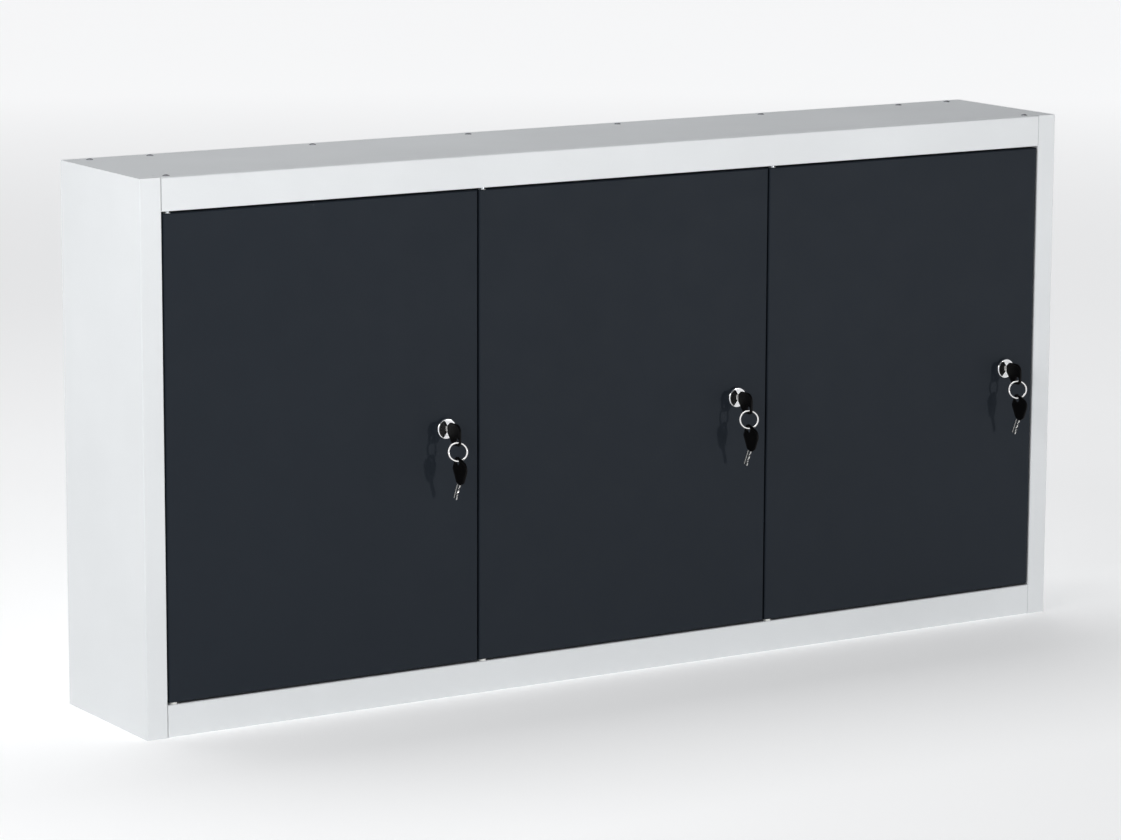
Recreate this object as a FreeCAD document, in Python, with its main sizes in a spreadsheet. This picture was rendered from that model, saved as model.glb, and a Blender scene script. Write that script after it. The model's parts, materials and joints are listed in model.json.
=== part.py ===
"""Three-door steel key cabinet, as a parametric document.

The frame is X to the right, +Y towards the wall, +Z up, in millimetres.  The origin is the centre of the
wall-fixing hole pattern, on the back face.  Every door, lock and key stands at its closed place.
"""
import FreeCAD, Part
import math
import os
import re
import Sketcher
from FreeCAD import Placement, Rotation, Vector

os.makedirs("parts", exist_ok=True)
doc = FreeCAD.newDocument("key_cabinet")

# ---------------------------------------------------------------------------------------------------------
# Driving dimensions, in millimetres and degrees
# ---------------------------------------------------------------------------------------------------------
DIMENSIONS = (
    ("overall_width", 1200, "outside width"),
    ("overall_height", 600, "outside height"),
    ("overall_depth", 190, "depth over the closed doors"),
    ("gauge", 1, "thickness of the sheet steel"),
    ("bend_outside", 1.5, "outside radius of a fold"),
    ("bend_inside", 0.5, "inside radius of a fold"),
    ("seam", 0.3, "gap where two panels meet"),
    ("stile_width", 25, "front face of a side panel"),
    ("rail_height", 36, "front face of the top and bottom panels"),
    ("frame_return", 16, "how far the front frame folds back"),
    ("tab_length", 25, "tab that ties a side panel to the top and bottom panels"),
    ("back_flange", 25, "forward fold round the back panel"),
    ("strike_width", 14, "lip that a cam closes behind"),
    ("strike_depth", 20, "back of that lip, behind the front face"),
    ("partition_flange", 15, "fold that fixes a partition"),
    ("front_fold", 10, "front fold of a partition, which carries its strike"),
    ("flange_setback", 10, "end of a partition's top and bottom flanges from its front and rear"),
    ("door_gap", 2, "gap all round a door"),
    ("door_depth", 16, "depth of a door"),
    ("door_lip", 12, "inward fold round the back of a door"),
    ("stiffener_width", 60, "web of the door stiffener"),
    ("stiffener_depth", 11, "depth of the door stiffener"),
    ("stiffener_foot", 12, "foot of the door stiffener"),
    ("stiffener_margin", 24, "door height above and below the stiffener"),
    ("buffer_radius", 4, "rubber door buffer"),
    ("buffer_thickness", 2.7, "rubber door buffer"),
    ("buffer_round", 0.8, "rounded rim of the buffer"),
    ("buffer_height", 200, "buffer above or below the middle of the door"),
    ("pivot_inset", 6.5, "hinge axis from the door's left edge"),
    ("pivot_depth", 5, "hinge axis behind the front face"),
    ("pin_radius", 2.5, "hinge pin"),
    ("pin_clearance", 0.05, "radial play of the pin in its bush"),
    ("pin_engagement", 11, "length of pin inside the door"),
    ("pin_head_radius", 3.4, "head of the hinge pin"),
    ("pin_head_height", 2, "head of the hinge pin"),
    ("pin_chamfer", 0.6, "lead-in on the tip of the hinge pin"),
    ("bush_radius", 4.3, "nylon bush in the door"),
    ("bush_length", 10, "nylon bush in the door"),
    ("washer_radius", 4.4, "nylon washer under the door"),
    ("washer_thickness", 1.8, "nylon washer under the door"),
    ("lock_inset", 41, "lock axis from the door's right edge"),
    ("lock_rise", 3, "lock axis above the middle of the door"),
    ("rim_radius", 11.5, "rim of the lock housing"),
    ("rim_height", 4, "how far the rim stands out"),
    ("rim_round", 1.2, "rounded edge of the rim"),
    ("barrel_radius", 9.3, "barrel of the lock housing"),
    ("barrel_length", 21, "barrel behind the door face"),
    ("barrel_hole", 9.5, "radius of the door's lock hole"),
    ("plug_radius", 6, "turning plug"),
    ("plug_clearance", 0.05, "radial play of the plug"),
    ("plug_head", 7.5, "front collar of the plug"),
    ("plug_collar", 1.2, "depth of the recess for that collar"),
    ("plug_end_play", 0.1, "how far the plug stands out behind the housing"),
    ("cam_gap", 0.3, "gap between the housing and the cam"),
    ("keyway_width", 2.1, "slot for the key"),
    ("keyway_height", 6.5, "slot for the key"),
    ("keyway_depth", 19.2, "slot for the key"),
    ("nut_radius", 13, "lock nut across corners, halved"),
    ("nut_thickness", 4, "lock nut"),
    ("cam_seat", 8, "square end of the plug"),
    ("cam_length", 36, "lock axis to the tip of the cam"),
    ("cam_tail", 8, "lock axis to the other end of the cam"),
    ("cam_width", 14, "cam"),
    ("cam_thickness", 2, "cam"),
    ("cam_round", 6, "rounded corners of the cam"),
    ("screw_radius", 2.5, "shank of the cam screw"),
    ("screw_length", 6.5, "shank of the cam screw inside the plug"),
    ("screw_head_radius", 5, "head of the cam screw"),
    ("screw_head_height", 3, "head of the cam screw"),
    ("recess_width", 1.2, "screwdriver slot"),
    ("recess_length", 6.8, "screwdriver slot"),
    ("recess_depth", 1.6, "screwdriver slot"),
    ("key_standoff", 6, "key head in front of the door face"),
    ("key_head_length", 26.5, "moulded head, along the key"),
    ("key_head_above", 8, "moulded head, from the blade's centre line to its plain side"),
    ("key_head_below", 15.8, "moulded head, from the blade's centre line to its hole side"),
    ("key_head_thickness", 2.6, "moulded head"),
    ("key_neck", 4, "half width of the head where the blade leaves it"),
    ("key_shoulder", 5, "neck to where the head reaches its full rise on the plain side"),
    ("key_heel", 11, "neck to the near edge of the hole side"),
    ("key_crown_round", 9, "far corner of the plain side"),
    ("key_foot_round", 4, "corners of the hole side"),
    ("key_shoulder_round", 2.5, "corner of the shoulder"),
    ("key_hole_radius", 3.5, "hole for the ring"),
    ("key_hole_along", 21, "hole from the neck, along the key"),
    ("key_hole_below", 10.3, "hole from the blade's centre line"),
    ("blade_length", 20.5, "blade outside the head"),
    ("blade_height", 6, "blade"),
    ("blade_thickness", 1.6, "blade"),
    ("blade_bevel", 2, "slope of the blade's tip on its plain edge"),
    ("blade_nose", 1.4, "slope of the blade's tip on its cut edge"),
    ("nose_rise", 0.5, "tip of the blade above its centre line"),
    ("first_cut", 3.5, "first cut from the head"),
    ("cut_pitch", 3.2, "spacing of the cuts"),
    ("cut_slope", 0.9, "length of each flank of a cut"),
    ("cut_floor", 1, "length of the floor of a cut"),
    ("tang_length", 10, "blade inside the head"),
    ("ring_radius", 10.1, "centre line of the key ring"),
    ("ring_wire", 0.9, "half the thickness of the key ring"),
    ("ring_drop", 1.5, "ring below the centre of the hole that it hangs in"),
    ("ring_yaw", 32, "turn of the ring out of the door's plane"),
    ("spare_yaw", 5, "turn of the spare key out of the inserted key's plane"),
    ("spare_tilt", 22, "lean of the hanging spare key"),
    ("rivet_head_radius", 4, "rivet on the top panel"),
    ("rivet_head_height", 1.4, "rivet on the top panel"),
    ("rivet_radius", 2, "shank of the rivet"),
    ("rivet_tail_radius", 2.8, "closed end of the rivet"),
    ("rivet_pitch", 200, "spacing of the rivets along the back edge"),
    ("rivet_setback", 14, "rivets from the back face"),
    ("corner_rivet_inset", 28, "end rivets from the side of the cabinet"),
    ("front_rivet_inset", 37, "front rivets from the side of the cabinet"),
    ("front_rivet_setback", 12.5, "front rivets behind the front face"),
    ("fixing_pitch_across", 1000, "wall-fixing holes, left to right"),
    ("fixing_pitch_up", 530, "wall-fixing holes, bottom to top"),
    ("fixing_hole_radius", 4.25, "wall-fixing holes"),
    ("hook_rail_length", 344, "hook rail"),
    ("hook_rail_height", 24, "hook rail"),
    ("hook_rail_depth", 10, "hook rail"),
    ("hook_rail_pitch", 104, "spacing of the hook rails, one above the other"),
    ("peg_pitch", 48, "spacing of the pegs along a rail"),
    ("peg_radius", 1.5, "key peg"),
    ("peg_length", 22, "key peg"),
    ("peg_foot_radius", 3.2, "foot of a key peg"),
    ("peg_foot_height", 1, "foot of a key peg"),
    ("peg_rise", 25, "upward slope of a key peg"),
    ("peg_drop", 5, "peg below the middle of its rail"),
)
DOORS = ("left", "centre", "right")
PARTITIONS = (("left", 1), ("right", 2))
RAILS_PER_COMPARTMENT = 5
PEGS_PER_RAIL = 7
CUT_DEPTHS = (1.2, 0.6, 1.6, 0.9)

sheet = doc.addObject("Spreadsheet::Sheet", "dimensions")
for row, (alias, value, meaning) in enumerate(DIMENSIONS, start=1):
    sheet.set(f"A{row}", alias)
    sheet.set(f"B{row}", str(value))
    sheet.set(f"C{row}", meaning)
    sheet.setAlias(f"B{row}", alias)
doc.recompute()
NAMES = {alias for alias, value, meaning in DIMENSIONS}


def size(alias):
    """Read one driving dimension off the sheet."""
    return float(sheet.get(alias))


def expression(formula):
    """Turn a formula over the sheet's names into an expression over its cells."""
    return re.sub(r"[a-z_]+", lambda word: f"dimensions.{word[0]}" if word[0] in NAMES else word[0], formula)


def bind(thing, target, formula):
    """Drive one property of an object by a formula over the sheet's names."""
    thing.setExpression(target, expression(formula))


def place(thing, x="0", y="0", z="0"):
    """Drive the place of an object by three formulas."""
    for axis, formula in zip("xyz", (x, y, z)):
        bind(thing, f"Placement.Base.{axis}", formula)


# ---------------------------------------------------------------------------------------------------------
# Formulas that several pieces share
# ---------------------------------------------------------------------------------------------------------
HALF_WIDTH = "overall_width / 2"
HALF_HEIGHT = "overall_height / 2"
FRONT = "(-overall_depth)"
DOOR_WIDTH = "((overall_width - 2 * stile_width - 4 * door_gap) / 3)"
DOOR_HEIGHT = "(overall_height - 2 * rail_height - 2 * door_gap)"


def door_edge(index):
    """Formula for the left edge of a door, counted from the left."""
    return f"(-overall_width / 2 + stile_width + door_gap + {index} * ({DOOR_WIDTH} + door_gap))"


def door_edge_size(index):
    """The left edge of a door as a number, for the pieces whose shape is set outright."""
    door_width = (size("overall_width") - 2 * size("stile_width") - 4 * size("door_gap")) / 3
    first = -size("overall_width") / 2 + size("stile_width") + size("door_gap")
    return first + index * (door_width + size("door_gap")), door_width


def lock_place(thing, index):
    """Put a piece whose own origin is the lock axis at the door face on its door."""
    place(thing, x=f"{door_edge(index)} + {DOOR_WIDTH} - lock_inset", y=FRONT, z="lock_rise")


# ---------------------------------------------------------------------------------------------------------
# Sketches and features
# ---------------------------------------------------------------------------------------------------------
def new_body(label):
    """An empty body named after its piece."""
    body = doc.addObject("PartDesign::Body", label)
    body.Label = label
    return body


def attach(sketch, body, plane, offset):
    """Lay a sketch on one of its own body's origin planes, or parallel to it at an offset."""
    origin_plane = next(item for item in body.Origin.OriginFeatures if item.Role == plane)
    sketch.AttachmentSupport = [(origin_plane, "")]
    sketch.MapMode = "FlatFace"
    bind(sketch, "AttachmentOffset.Base.z", offset)


def add_outline(sketch, corners):
    """Draw one closed outline whose corners are pairs of formulas."""
    spots = [Vector(corner, corner * corner, 0) for corner in range(len(corners))]
    first = sketch.GeometryCount
    for corner in range(len(corners)):
        following = (corner + 1) % len(corners)
        sketch.addGeometry(Part.LineSegment(spots[corner], spots[following]))
    for corner in range(len(corners)):
        following = (corner + 1) % len(corners)
        sketch.addConstraint(Sketcher.Constraint("Coincident", first + corner, 2, first + following, 1))
    for corner, formulas in enumerate(corners):
        for direction, formula, value in zip(("DistanceX", "DistanceY"), formulas, spots[corner]):
            number = sketch.addConstraint(
                Sketcher.Constraint(direction, -1, 1, first + corner, 1, value))
            bind(sketch, f"Constraints[{number}]", formula)


def add_circle(sketch, across, up, radius):
    """Draw one circle whose centre and radius are formulas."""
    circle = sketch.addGeometry(Part.Circle(Vector(1, 1, 0), Vector(0, 0, 1), 1))
    number = sketch.addConstraint(Sketcher.Constraint("Radius", circle, 1))
    bind(sketch, f"Constraints[{number}]", radius)
    for direction, formula in (("DistanceX", across), ("DistanceY", up)):
        number = sketch.addConstraint(Sketcher.Constraint(direction, -1, 1, circle, 3, 1))
        bind(sketch, f"Constraints[{number}]", formula)


def new_sketch(body, plane, name, outlines=(), circles=(), offset="0"):
    """A sketch of closed outlines and circles on one of the body's origin planes."""
    sketch = body.newObject("Sketcher::SketchObject", f"{body.Name}_{name}")
    attach(sketch, body, plane, offset)
    for corners in outlines:
        add_outline(sketch, corners)
    for circle in circles:
        add_circle(sketch, *circle)
    return sketch


def rectangle(left, bottom, right, top):
    """Four corners from the formulas of a rectangle's sides."""
    return ((left, bottom), (right, bottom), (right, top), (left, top))


def extrude(body, sketch, kind, length, reverse=False, both_ways=False):
    """Pad or pocket a sketch by a length."""
    feature = body.newObject(f"PartDesign::{kind}", f"{sketch.Name}_{kind.lower()}")
    feature.Profile = sketch
    bind(feature, "Length", length)
    feature.Reversed = reverse
    feature.Midplane = both_ways
    doc.recompute()
    return feature


def spin(body, sketch):
    """Turn a half section about the sketch's own vertical axis."""
    feature = body.newObject("PartDesign::Revolution", f"{sketch.Name}_turned")
    feature.Profile = sketch
    feature.ReferenceAxis = (sketch, ["V_Axis"])
    feature.Angle = 360
    doc.recompute()
    return feature


def round_edges(body, base, radius, wanted):
    """Round the edges of the newest feature that pass a test on their two ends."""
    names = []
    for number, edge in enumerate(base.Shape.Edges, start=1):
        ends = [vertex.Point for vertex in edge.Vertexes]
        if len(ends) == 2 and wanted(*ends):
            names.append(f"Edge{number}")
    feature = body.newObject("PartDesign::Fillet", f"{base.Name}_rounded")
    feature.Base = (base, names)
    bind(feature, "Radius", radius)
    doc.recompute()
    return feature


def close(one, other):
    """Whether two lengths are the same."""
    return abs(one - other) < 1e-4


def block(name, x, y, z):
    """A box between pairs of formulas."""
    box = doc.addObject("Part::Box", name)
    for pair, measure in zip((x, y, z), ("Length", "Width", "Height")):
        bind(box, measure, f"({pair[1]}) - ({pair[0]})")
    place(box, x[0], y[0], z[0])
    return box


def fuse(label, shapes):
    """Join overlapping or touching shapes into one piece."""
    fusion = doc.addObject("Part::MultiFuse", label)
    fusion.Shapes = shapes
    fusion.Refine = True
    fusion.Label = label
    doc.recompute()
    return fusion


def cut(label, base, tool):
    """Take one shape out of another."""
    result = doc.addObject("Part::Cut", label)
    result.Base = base
    result.Tool = tool
    result.Label = label
    doc.recompute()
    return result


def fold_edges(label, base, folds):
    """Round a folded panel's edges: folds are pairs of a radius and a test on an edge's two ends."""
    edges = []
    for number, edge in enumerate(base.Shape.Edges, start=1):
        ends = [vertex.Point for vertex in edge.Vertexes]
        for radius, wanted in folds:
            if len(ends) == 2 and wanted(*ends):
                edges.append((number, size(radius), size(radius)))
    result = doc.addObject("Part::Fillet", label)
    result.Base = base
    result.Edges = edges
    result.Label = label
    doc.recompute()
    return result


def solids(label, shapes):
    """One node of separate like solids, whose shape is set outright."""
    feature = doc.addObject("Part::Feature", label)
    feature.Shape = Part.makeCompound(shapes)
    feature.Label = label
    feature.Placement = Placement()
    return feature


pieces = []


def keep(piece):
    """List a finished piece for export."""
    pieces.append(piece)
    return piece


# ---------------------------------------------------------------------------------------------------------
# Carcass
# ---------------------------------------------------------------------------------------------------------
def side_panel(side):
    """A side wall that folds round into the front stile; the right one also carries a strike lip."""
    hand = {"left": 1, "right": -1}[side]
    body = new_body(f"{side}_side_panel")
    outer = f"({-hand} * {HALF_WIDTH})"
    step = f"{hand} * "
    wall = f"{outer} + {step} gauge"
    stile = f"{outer} + {step} stile_width"
    stile_inside = f"{stile} - {step} gauge"
    folded_back = f"{FRONT} + {'frame_return' if side == 'left' else 'strike_depth'}"
    section = new_sketch(body, "XY_Plane", "section", [[
        (outer, "0"), (outer, FRONT), (stile, FRONT), (stile, folded_back), (stile_inside, folded_back),
        (stile_inside, f"{FRONT} + gauge"), (wall, f"{FRONT} + gauge"), (wall, "0"),
    ]])
    panel = extrude(body, section, "Pad", "overall_height", both_ways=True)
    if side == "right":
        strike = new_sketch(body, "XY_Plane", "strike", [rectangle(
            f"{stile} - strike_width", f"{folded_back} - gauge", stile_inside, folded_back)])
        panel = extrude(body, strike, "Pad", "overall_height - 4 * gauge", both_ways=True)
    rivet_x = f"{outer} + {step} front_rivet_inset"
    rivet_hole = (rivet_x, f"{FRONT} + front_rivet_setback", "rivet_radius")
    for name, below, holes in (("top_tab", f"{HALF_HEIGHT} - 2 * gauge", [rivet_hole]),
                               ("bottom_tab", f"-{HALF_HEIGHT} + gauge", [])):
        near, far = (stile, f"{stile} + tab_length") if hand > 0 else (f"{stile} - tab_length", stile)
        tab = new_sketch(body, "XY_Plane", name, [rectangle(
            near, f"{FRONT} + 2 * gauge", far, f"{FRONT} + frame_return - gauge")], holes, offset=below)
        panel = extrude(body, tab, "Pad", "gauge")
    front = -size("overall_depth")
    stile_x = -hand * (size("overall_width") / 2 - size("stile_width"))
    outside_x = -hand * size("overall_width") / 2
    gauge = size("gauge")

    def upright(start, end, x, y):
        return (close(start.x, x) and close(end.x, x) and close(start.y, y) and close(end.y, y)
                and abs(start.z - end.z) > size("overall_height") / 2)

    panel = round_edges(body, panel, "bend_outside", lambda start, end: (
        upright(start, end, outside_x, front) or upright(start, end, stile_x, front)))
    return round_body(body, panel, "bend_inside", lambda start, end: (
        upright(start, end, outside_x + hand * gauge, front + gauge)
        or upright(start, end, stile_x - hand * gauge, front + gauge)))


def round_body(body, base, radius, wanted):
    """Round the edges and return the finished body."""
    round_edges(body, base, radius, wanted)
    return body


def end_panel_blank():
    """The top panel before its rivet holes: a sheet that folds down into the front rail and back under it."""
    inner = f"{HALF_WIDTH} - stile_width - seam"
    side = f"{HALF_WIDTH} - gauge - seam"
    slot = f"{HALF_WIDTH} - stile_width + gauge + seam"
    top, under = HALF_HEIGHT, f"{HALF_HEIGHT} - gauge"
    rail_foot = f"{HALF_HEIGHT} - rail_height"
    parts = [
        block("top_sheet", (f"-({inner})", inner), (FRONT, "0"), (under, top)),
        block("top_rail", (f"-({inner})", inner), (FRONT, f"{FRONT} + gauge"), (rail_foot, top)),
        block("top_return", (f"-({inner})", inner), (FRONT, f"{FRONT} + frame_return"),
              (rail_foot, f"{rail_foot} + gauge")),
    ]
    for name, beside, outside in (("left", f"-({slot})", f"-({side})"), ("right", slot, side)):
        low, high = (outside, beside) if name == "left" else (beside, outside)
        parts.append(block(f"top_sheet_{name}_end", (low, high), (f"{FRONT} + gauge + seam", "0"),
                           (under, top)))
        low, high = (outside, f"-({inner})") if name == "left" else (inner, outside)
        parts.append(block(f"top_sheet_{name}_rear", (low, high),
                           (f"{FRONT} + strike_depth + seam", "0"), (under, top)))
    blank = fuse("top_panel_folds", parts)
    front, high = -size("overall_depth"), size("overall_height") / 2
    low, gauge = high - size("rail_height"), size("gauge")

    def along(start, end, y, z):
        return (close(start.y, y) and close(end.y, y) and close(start.z, z) and close(end.z, z)
                and abs(start.x - end.x) > size("overall_width") / 2)

    return fold_edges("top_panel_blank", blank, [
        ("bend_outside", lambda start, end: along(start, end, front, high) or along(start, end, front, low)),
        ("bend_inside", lambda start, end: (along(start, end, front + gauge, high - gauge)
                                            or along(start, end, front + gauge, low + gauge))),
    ])


def rivet_places():
    """Where the rivets go through the top panel, as X and Y."""
    half = size("overall_width") / 2
    places = [((step + 0.5) * size("rivet_pitch"), -size("rivet_setback")) for step in range(-3, 3)]
    for hand in (-1, 1):
        places.append((hand * (half - size("corner_rivet_inset")), -size("rivet_setback")))
        places.append((hand * (half - size("front_rivet_inset")),
                       -size("overall_depth") + size("front_rivet_setback")))
    return places


def rivet_holes():
    """The shanks of all the rivets, long enough to drill both sheets."""
    drill = 4 * size("gauge")
    height = size("overall_height") / 2 - drill + size("gauge")
    return solids("rivet_drills", [
        Part.makeCylinder(size("rivet_radius"), drill, Vector(x, y, height)) for x, y in rivet_places()])


def top_rivets():
    """Low domed rivet heads, each with a shank through two sheets and a flat tail under them."""
    height = size("overall_height") / 2
    radius, rise, shank = size("rivet_head_radius"), size("rivet_head_height"), size("rivet_radius")
    tail_radius, tail = size("rivet_tail_radius"), size("gauge")
    grip = 2 * size("gauge")
    dome = (radius * radius + rise * rise) / (2 * rise)
    crown = Part.Arc(Vector(0, 0, rise), Vector(
        dome * math.sin(0.5 * math.asin(radius / dome)), 0,
        rise - dome + dome * math.cos(0.5 * math.asin(radius / dome))), Vector(radius, 0, 0)).toShape()
    outline = [Vector(radius, 0, 0), Vector(shank, 0, 0), Vector(shank, 0, -grip),
               Vector(tail_radius, 0, -grip), Vector(tail_radius, 0, -grip - tail),
               Vector(0, 0, -grip - tail), Vector(0, 0, rise)]
    profile = Part.Wire([crown] + [Part.makeLine(*pair) for pair in zip(outline, outline[1:])])
    rivet = Part.Face(profile).revolve(Vector(0, 0, 0), Vector(0, 0, 1), 360)
    placed = []
    for x, y in rivet_places():
        copy = rivet.copy()
        copy.translate(Vector(x, y, height))
        placed.append(copy)
    return solids("top_rivets", placed)


def back_panel(drills):
    """A shallow tray whose flanges lie against the other panels, with the wall-fixing holes."""
    across = f"{HALF_WIDTH} - gauge - seam"
    up = f"{HALF_HEIGHT} - gauge"
    blank = block("back_blank", (f"-({across})", across), ("-back_flange", "0"), (f"-({up})", up))
    hollow = block("back_hollow", (f"-({across} - gauge)", f"{across} - gauge"),
                   ("-back_flange - gauge", "-gauge"), (f"-({up} - gauge)", f"{up} - gauge"))
    tray = cut("back_tray", blank, hollow)
    holes = solids("fixing_drills", [
        Part.makeCylinder(size("fixing_hole_radius"), 4 * size("gauge"),
                          Vector(across_hand * size("fixing_pitch_across") / 2, -3 * size("gauge"),
                                 up_hand * size("fixing_pitch_up") / 2), Vector(0, 1, 0))
        for across_hand in (-1, 1) for up_hand in (-1, 1)])
    return cut("back_panel", cut("back_tray_fixings", tray, holes), drills)


def partition_middle(index):
    """Formula for the middle of the wall on the left of a door."""
    return f"{door_edge(index)} - door_gap / 2"


def partition(side, index):
    """A wall between two compartments, folded over to the right at its front, rear, top and bottom."""
    middle = partition_middle(index)
    left, right = f"{middle} - gauge / 2", f"{middle} + gauge / 2"
    front = f"{FRONT} + strike_depth"
    front_foot, foot = f"{middle} + front_fold", f"{middle} + partition_flange"
    high, low = f"{HALF_HEIGHT} - gauge", f"-{HALF_HEIGHT} + gauge"
    rear_high, rear_low = f"{high} - 2 * gauge", f"{low} + 2 * gauge"
    rear = "-back_flange - gauge"
    flange = (f"{front} + flange_setback", f"{rear} - flange_setback")
    parts = [
        block(f"{side}_wall", (left, right), (front, rear), (low, high)),
        block(f"{side}_wall_rear", (left, right), (rear, "-gauge"), (rear_low, rear_high)),
        block(f"{side}_front_flange", (left, front_foot), (front, f"{front} + gauge"), (low, high)),
        block(f"{side}_rear_flange", (left, foot), ("-2 * gauge", "-gauge"), (rear_low, rear_high)),
        block(f"{side}_top_flange", (left, foot), flange, (f"{high} - gauge", high)),
        block(f"{side}_bottom_flange", (left, foot), flange, (low, f"{low} + gauge")),
    ]
    return fuse(f"{side}_partition", parts)


def partition_strikes():
    """A flat strip on the front fold of each partition, whose left part a cam closes behind."""
    strips = []
    for side, index in PARTITIONS:
        middle = partition_middle(index)
        strips.append(block(
            f"{side}_strike", (f"{middle} - gauge / 2 - strike_width", f"{middle} + front_fold"),
            (f"{FRONT} + strike_depth - gauge", f"{FRONT} + strike_depth"),
            (f"-{HALF_HEIGHT} + 2 * gauge", f"{HALF_HEIGHT} - 2 * gauge")))
    pair = doc.addObject("Part::Compound", "partition_strikes")
    pair.Links = strips
    pair.Label = "partition_strikes"
    doc.recompute()
    return pair


# ---------------------------------------------------------------------------------------------------------
# Hinges
# ---------------------------------------------------------------------------------------------------------
def hinge_places():
    """The hinge axes, as X and Y."""
    return [(door_edge_size(index)[0] + size("pivot_inset"), -size("overall_depth") + size("pivot_depth"))
            for index in range(len(DOORS))]


def hinge_drills(name, upper):
    """Holes for the pins in the front frame's return."""
    base = size("overall_height") / 2 - size("rail_height") - size("gauge")
    height = base if upper else -base - 3 * size("gauge")
    return solids(name, [Part.makeCylinder(size("pin_radius"), 3 * size("gauge"), Vector(x, y, height))
                         for x, y in hinge_places()])


def hinge_pins(label, upper):
    """Headed pins that stand through the frame's return into the doors."""
    hand = 1 if upper else -1
    face = size("overall_height") / 2 - size("rail_height") + size("gauge")
    tip = face - size("gauge") - size("door_gap") - size("pin_engagement")
    pins = []
    for x, y in hinge_places():
        shank = Part.makeCylinder(size("pin_radius"), face - tip, Vector(x, y, hand * face),
                                  Vector(0, 0, -hand))
        tip_edges = [edge for edge in shank.Edges
                     if close(edge.BoundBox.ZMin, hand * tip) and close(edge.BoundBox.ZMax, hand * tip)]
        shank = shank.makeChamfer(size("pin_chamfer"), tip_edges)
        head = Part.makeCylinder(size("pin_head_radius"), size("pin_head_height"),
                                 Vector(x, y, hand * face), Vector(0, 0, hand))
        pins.append(shank.fuse(head).removeSplitter())
    return solids(label, pins)


def hinge_washers():
    """Nylon washers on the lower pins, under the doors."""
    seat = -size("overall_height") / 2 + size("rail_height")
    washers = []
    for x, y in hinge_places():
        disc = Part.makeCylinder(size("washer_radius"), size("washer_thickness"), Vector(x, y, seat))
        hole = Part.makeCylinder(size("pin_radius") + size("pin_clearance"), size("washer_thickness"),
                                 Vector(x, y, seat))
        washers.append(disc.cut(hole))
    return solids("hinge_washers", washers)


def door_bushes(door, index):
    """Two nylon bushes set in a door's top and bottom folds."""
    x, y = hinge_places()[index]
    outer = size("overall_height") / 2 - size("rail_height") - size("door_gap")
    bushes = []
    for hand in (-1, 1):
        start, inward = Vector(x, y, hand * outer), Vector(0, 0, -hand)
        tube = Part.makeCylinder(size("bush_radius"), size("bush_length"), start, inward)
        bore = Part.makeCylinder(size("pin_radius") + size("pin_clearance"), size("bush_length"),
                                 start, inward)
        bushes.append(tube.cut(bore))
    return solids(f"{door}_door_bushes", bushes)


# ---------------------------------------------------------------------------------------------------------
# Doors.  A door's own origin is its left edge, on the front face, half way up.
# ---------------------------------------------------------------------------------------------------------
def door_panel(door, index):
    """A folded tray with an inward lip, the lock hole and the two bush holes."""
    body = new_body(f"{door}_door_panel")
    top, bottom = f"{DOOR_HEIGHT} / 2", f"-{DOOR_HEIGHT} / 2"
    face = new_sketch(body, "XZ_Plane", "face", [rectangle("0", bottom, DOOR_WIDTH, top)])
    tray = extrude(body, face, "Pad", "door_depth", reverse=True)
    tray = round_edges(body, tray, "bend_outside", lambda start, end: close(start.y, 0) and close(end.y, 0))
    hollow = new_sketch(body, "XZ_Plane", "hollow", [rectangle(
        "gauge", f"{bottom} + gauge", f"{DOOR_WIDTH} - gauge", f"{top} - gauge")], offset="-gauge")
    tray = extrude(body, hollow, "Pocket", "door_depth")
    lip = new_sketch(body, "XZ_Plane", "lip", [
        rectangle("gauge / 2", f"{bottom} + gauge / 2", f"{DOOR_WIDTH} - gauge / 2", f"{top} - gauge / 2"),
        rectangle("door_lip", f"{bottom} + door_lip", f"{DOOR_WIDTH} - door_lip", f"{top} - door_lip"),
    ], offset="-door_depth + gauge")
    extrude(body, lip, "Pad", "gauge", reverse=True)
    lock_hole = new_sketch(body, "XZ_Plane", "lock_hole",
                           circles=[(f"{DOOR_WIDTH} - lock_inset", "lock_rise", "barrel_hole")])
    extrude(body, lock_hole, "Pocket", "4 * gauge", both_ways=True)
    bush_holes = new_sketch(body, "XY_Plane", "bush_holes",
                            circles=[("pivot_inset", "pivot_depth", "bush_radius")])
    extrude(body, bush_holes, "Pocket", "overall_height", both_ways=True)
    place(body, x=door_edge(index), y=FRONT)
    return body


def door_stiffener(door, index):
    """A hat section fixed upright to the back of the door sheet, in the middle of the door."""
    body = new_body(f"{door}_door_stiffener")
    half, deep, foot = "stiffener_width / 2", "stiffener_depth", "stiffener_foot"
    right = [
        (f"{half} + {foot}", "0"), (f"{half} + {foot}", "gauge"), (f"{half}", "gauge"),
        (half, deep),
    ]
    left = [(f"-({across})", back) for across, back in reversed(right)]
    inside = [(f"-({half}) + gauge", "0"), (f"-({half}) + gauge", f"{deep} - gauge"),
              (f"{half} - gauge", f"{deep} - gauge"), (f"{half} - gauge", "0")]
    section = new_sketch(body, "XY_Plane", "section", [right + left + inside])
    extrude(body, section, "Pad", f"{DOOR_HEIGHT} - 2 * stiffener_margin", both_ways=True)
    place(body, x=f"{door_edge(index)} + {DOOR_WIDTH} / 2", y=f"{FRONT} + gauge")
    return body


def door_buffers(door, index):
    """Two rubber buttons on the closing edge of a door, facing the strike lip."""
    edge, door_width = door_edge_size(index)
    x = edge + door_width - size("strike_width") / 2
    y = -size("overall_depth") + size("door_depth")
    buttons = []
    for hand in (-1, 1):
        button = Part.makeCylinder(size("buffer_radius"), size("buffer_thickness"),
                                   Vector(x, y, hand * size("buffer_height")), Vector(0, 1, 0))
        rounded = [rim for rim in button.Edges if close(rim.BoundBox.YMin, y + size("buffer_thickness"))]
        buttons.append(button.makeFillet(size("buffer_round"), rounded))
    return solids(f"{door}_door_buffers", buttons)


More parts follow.
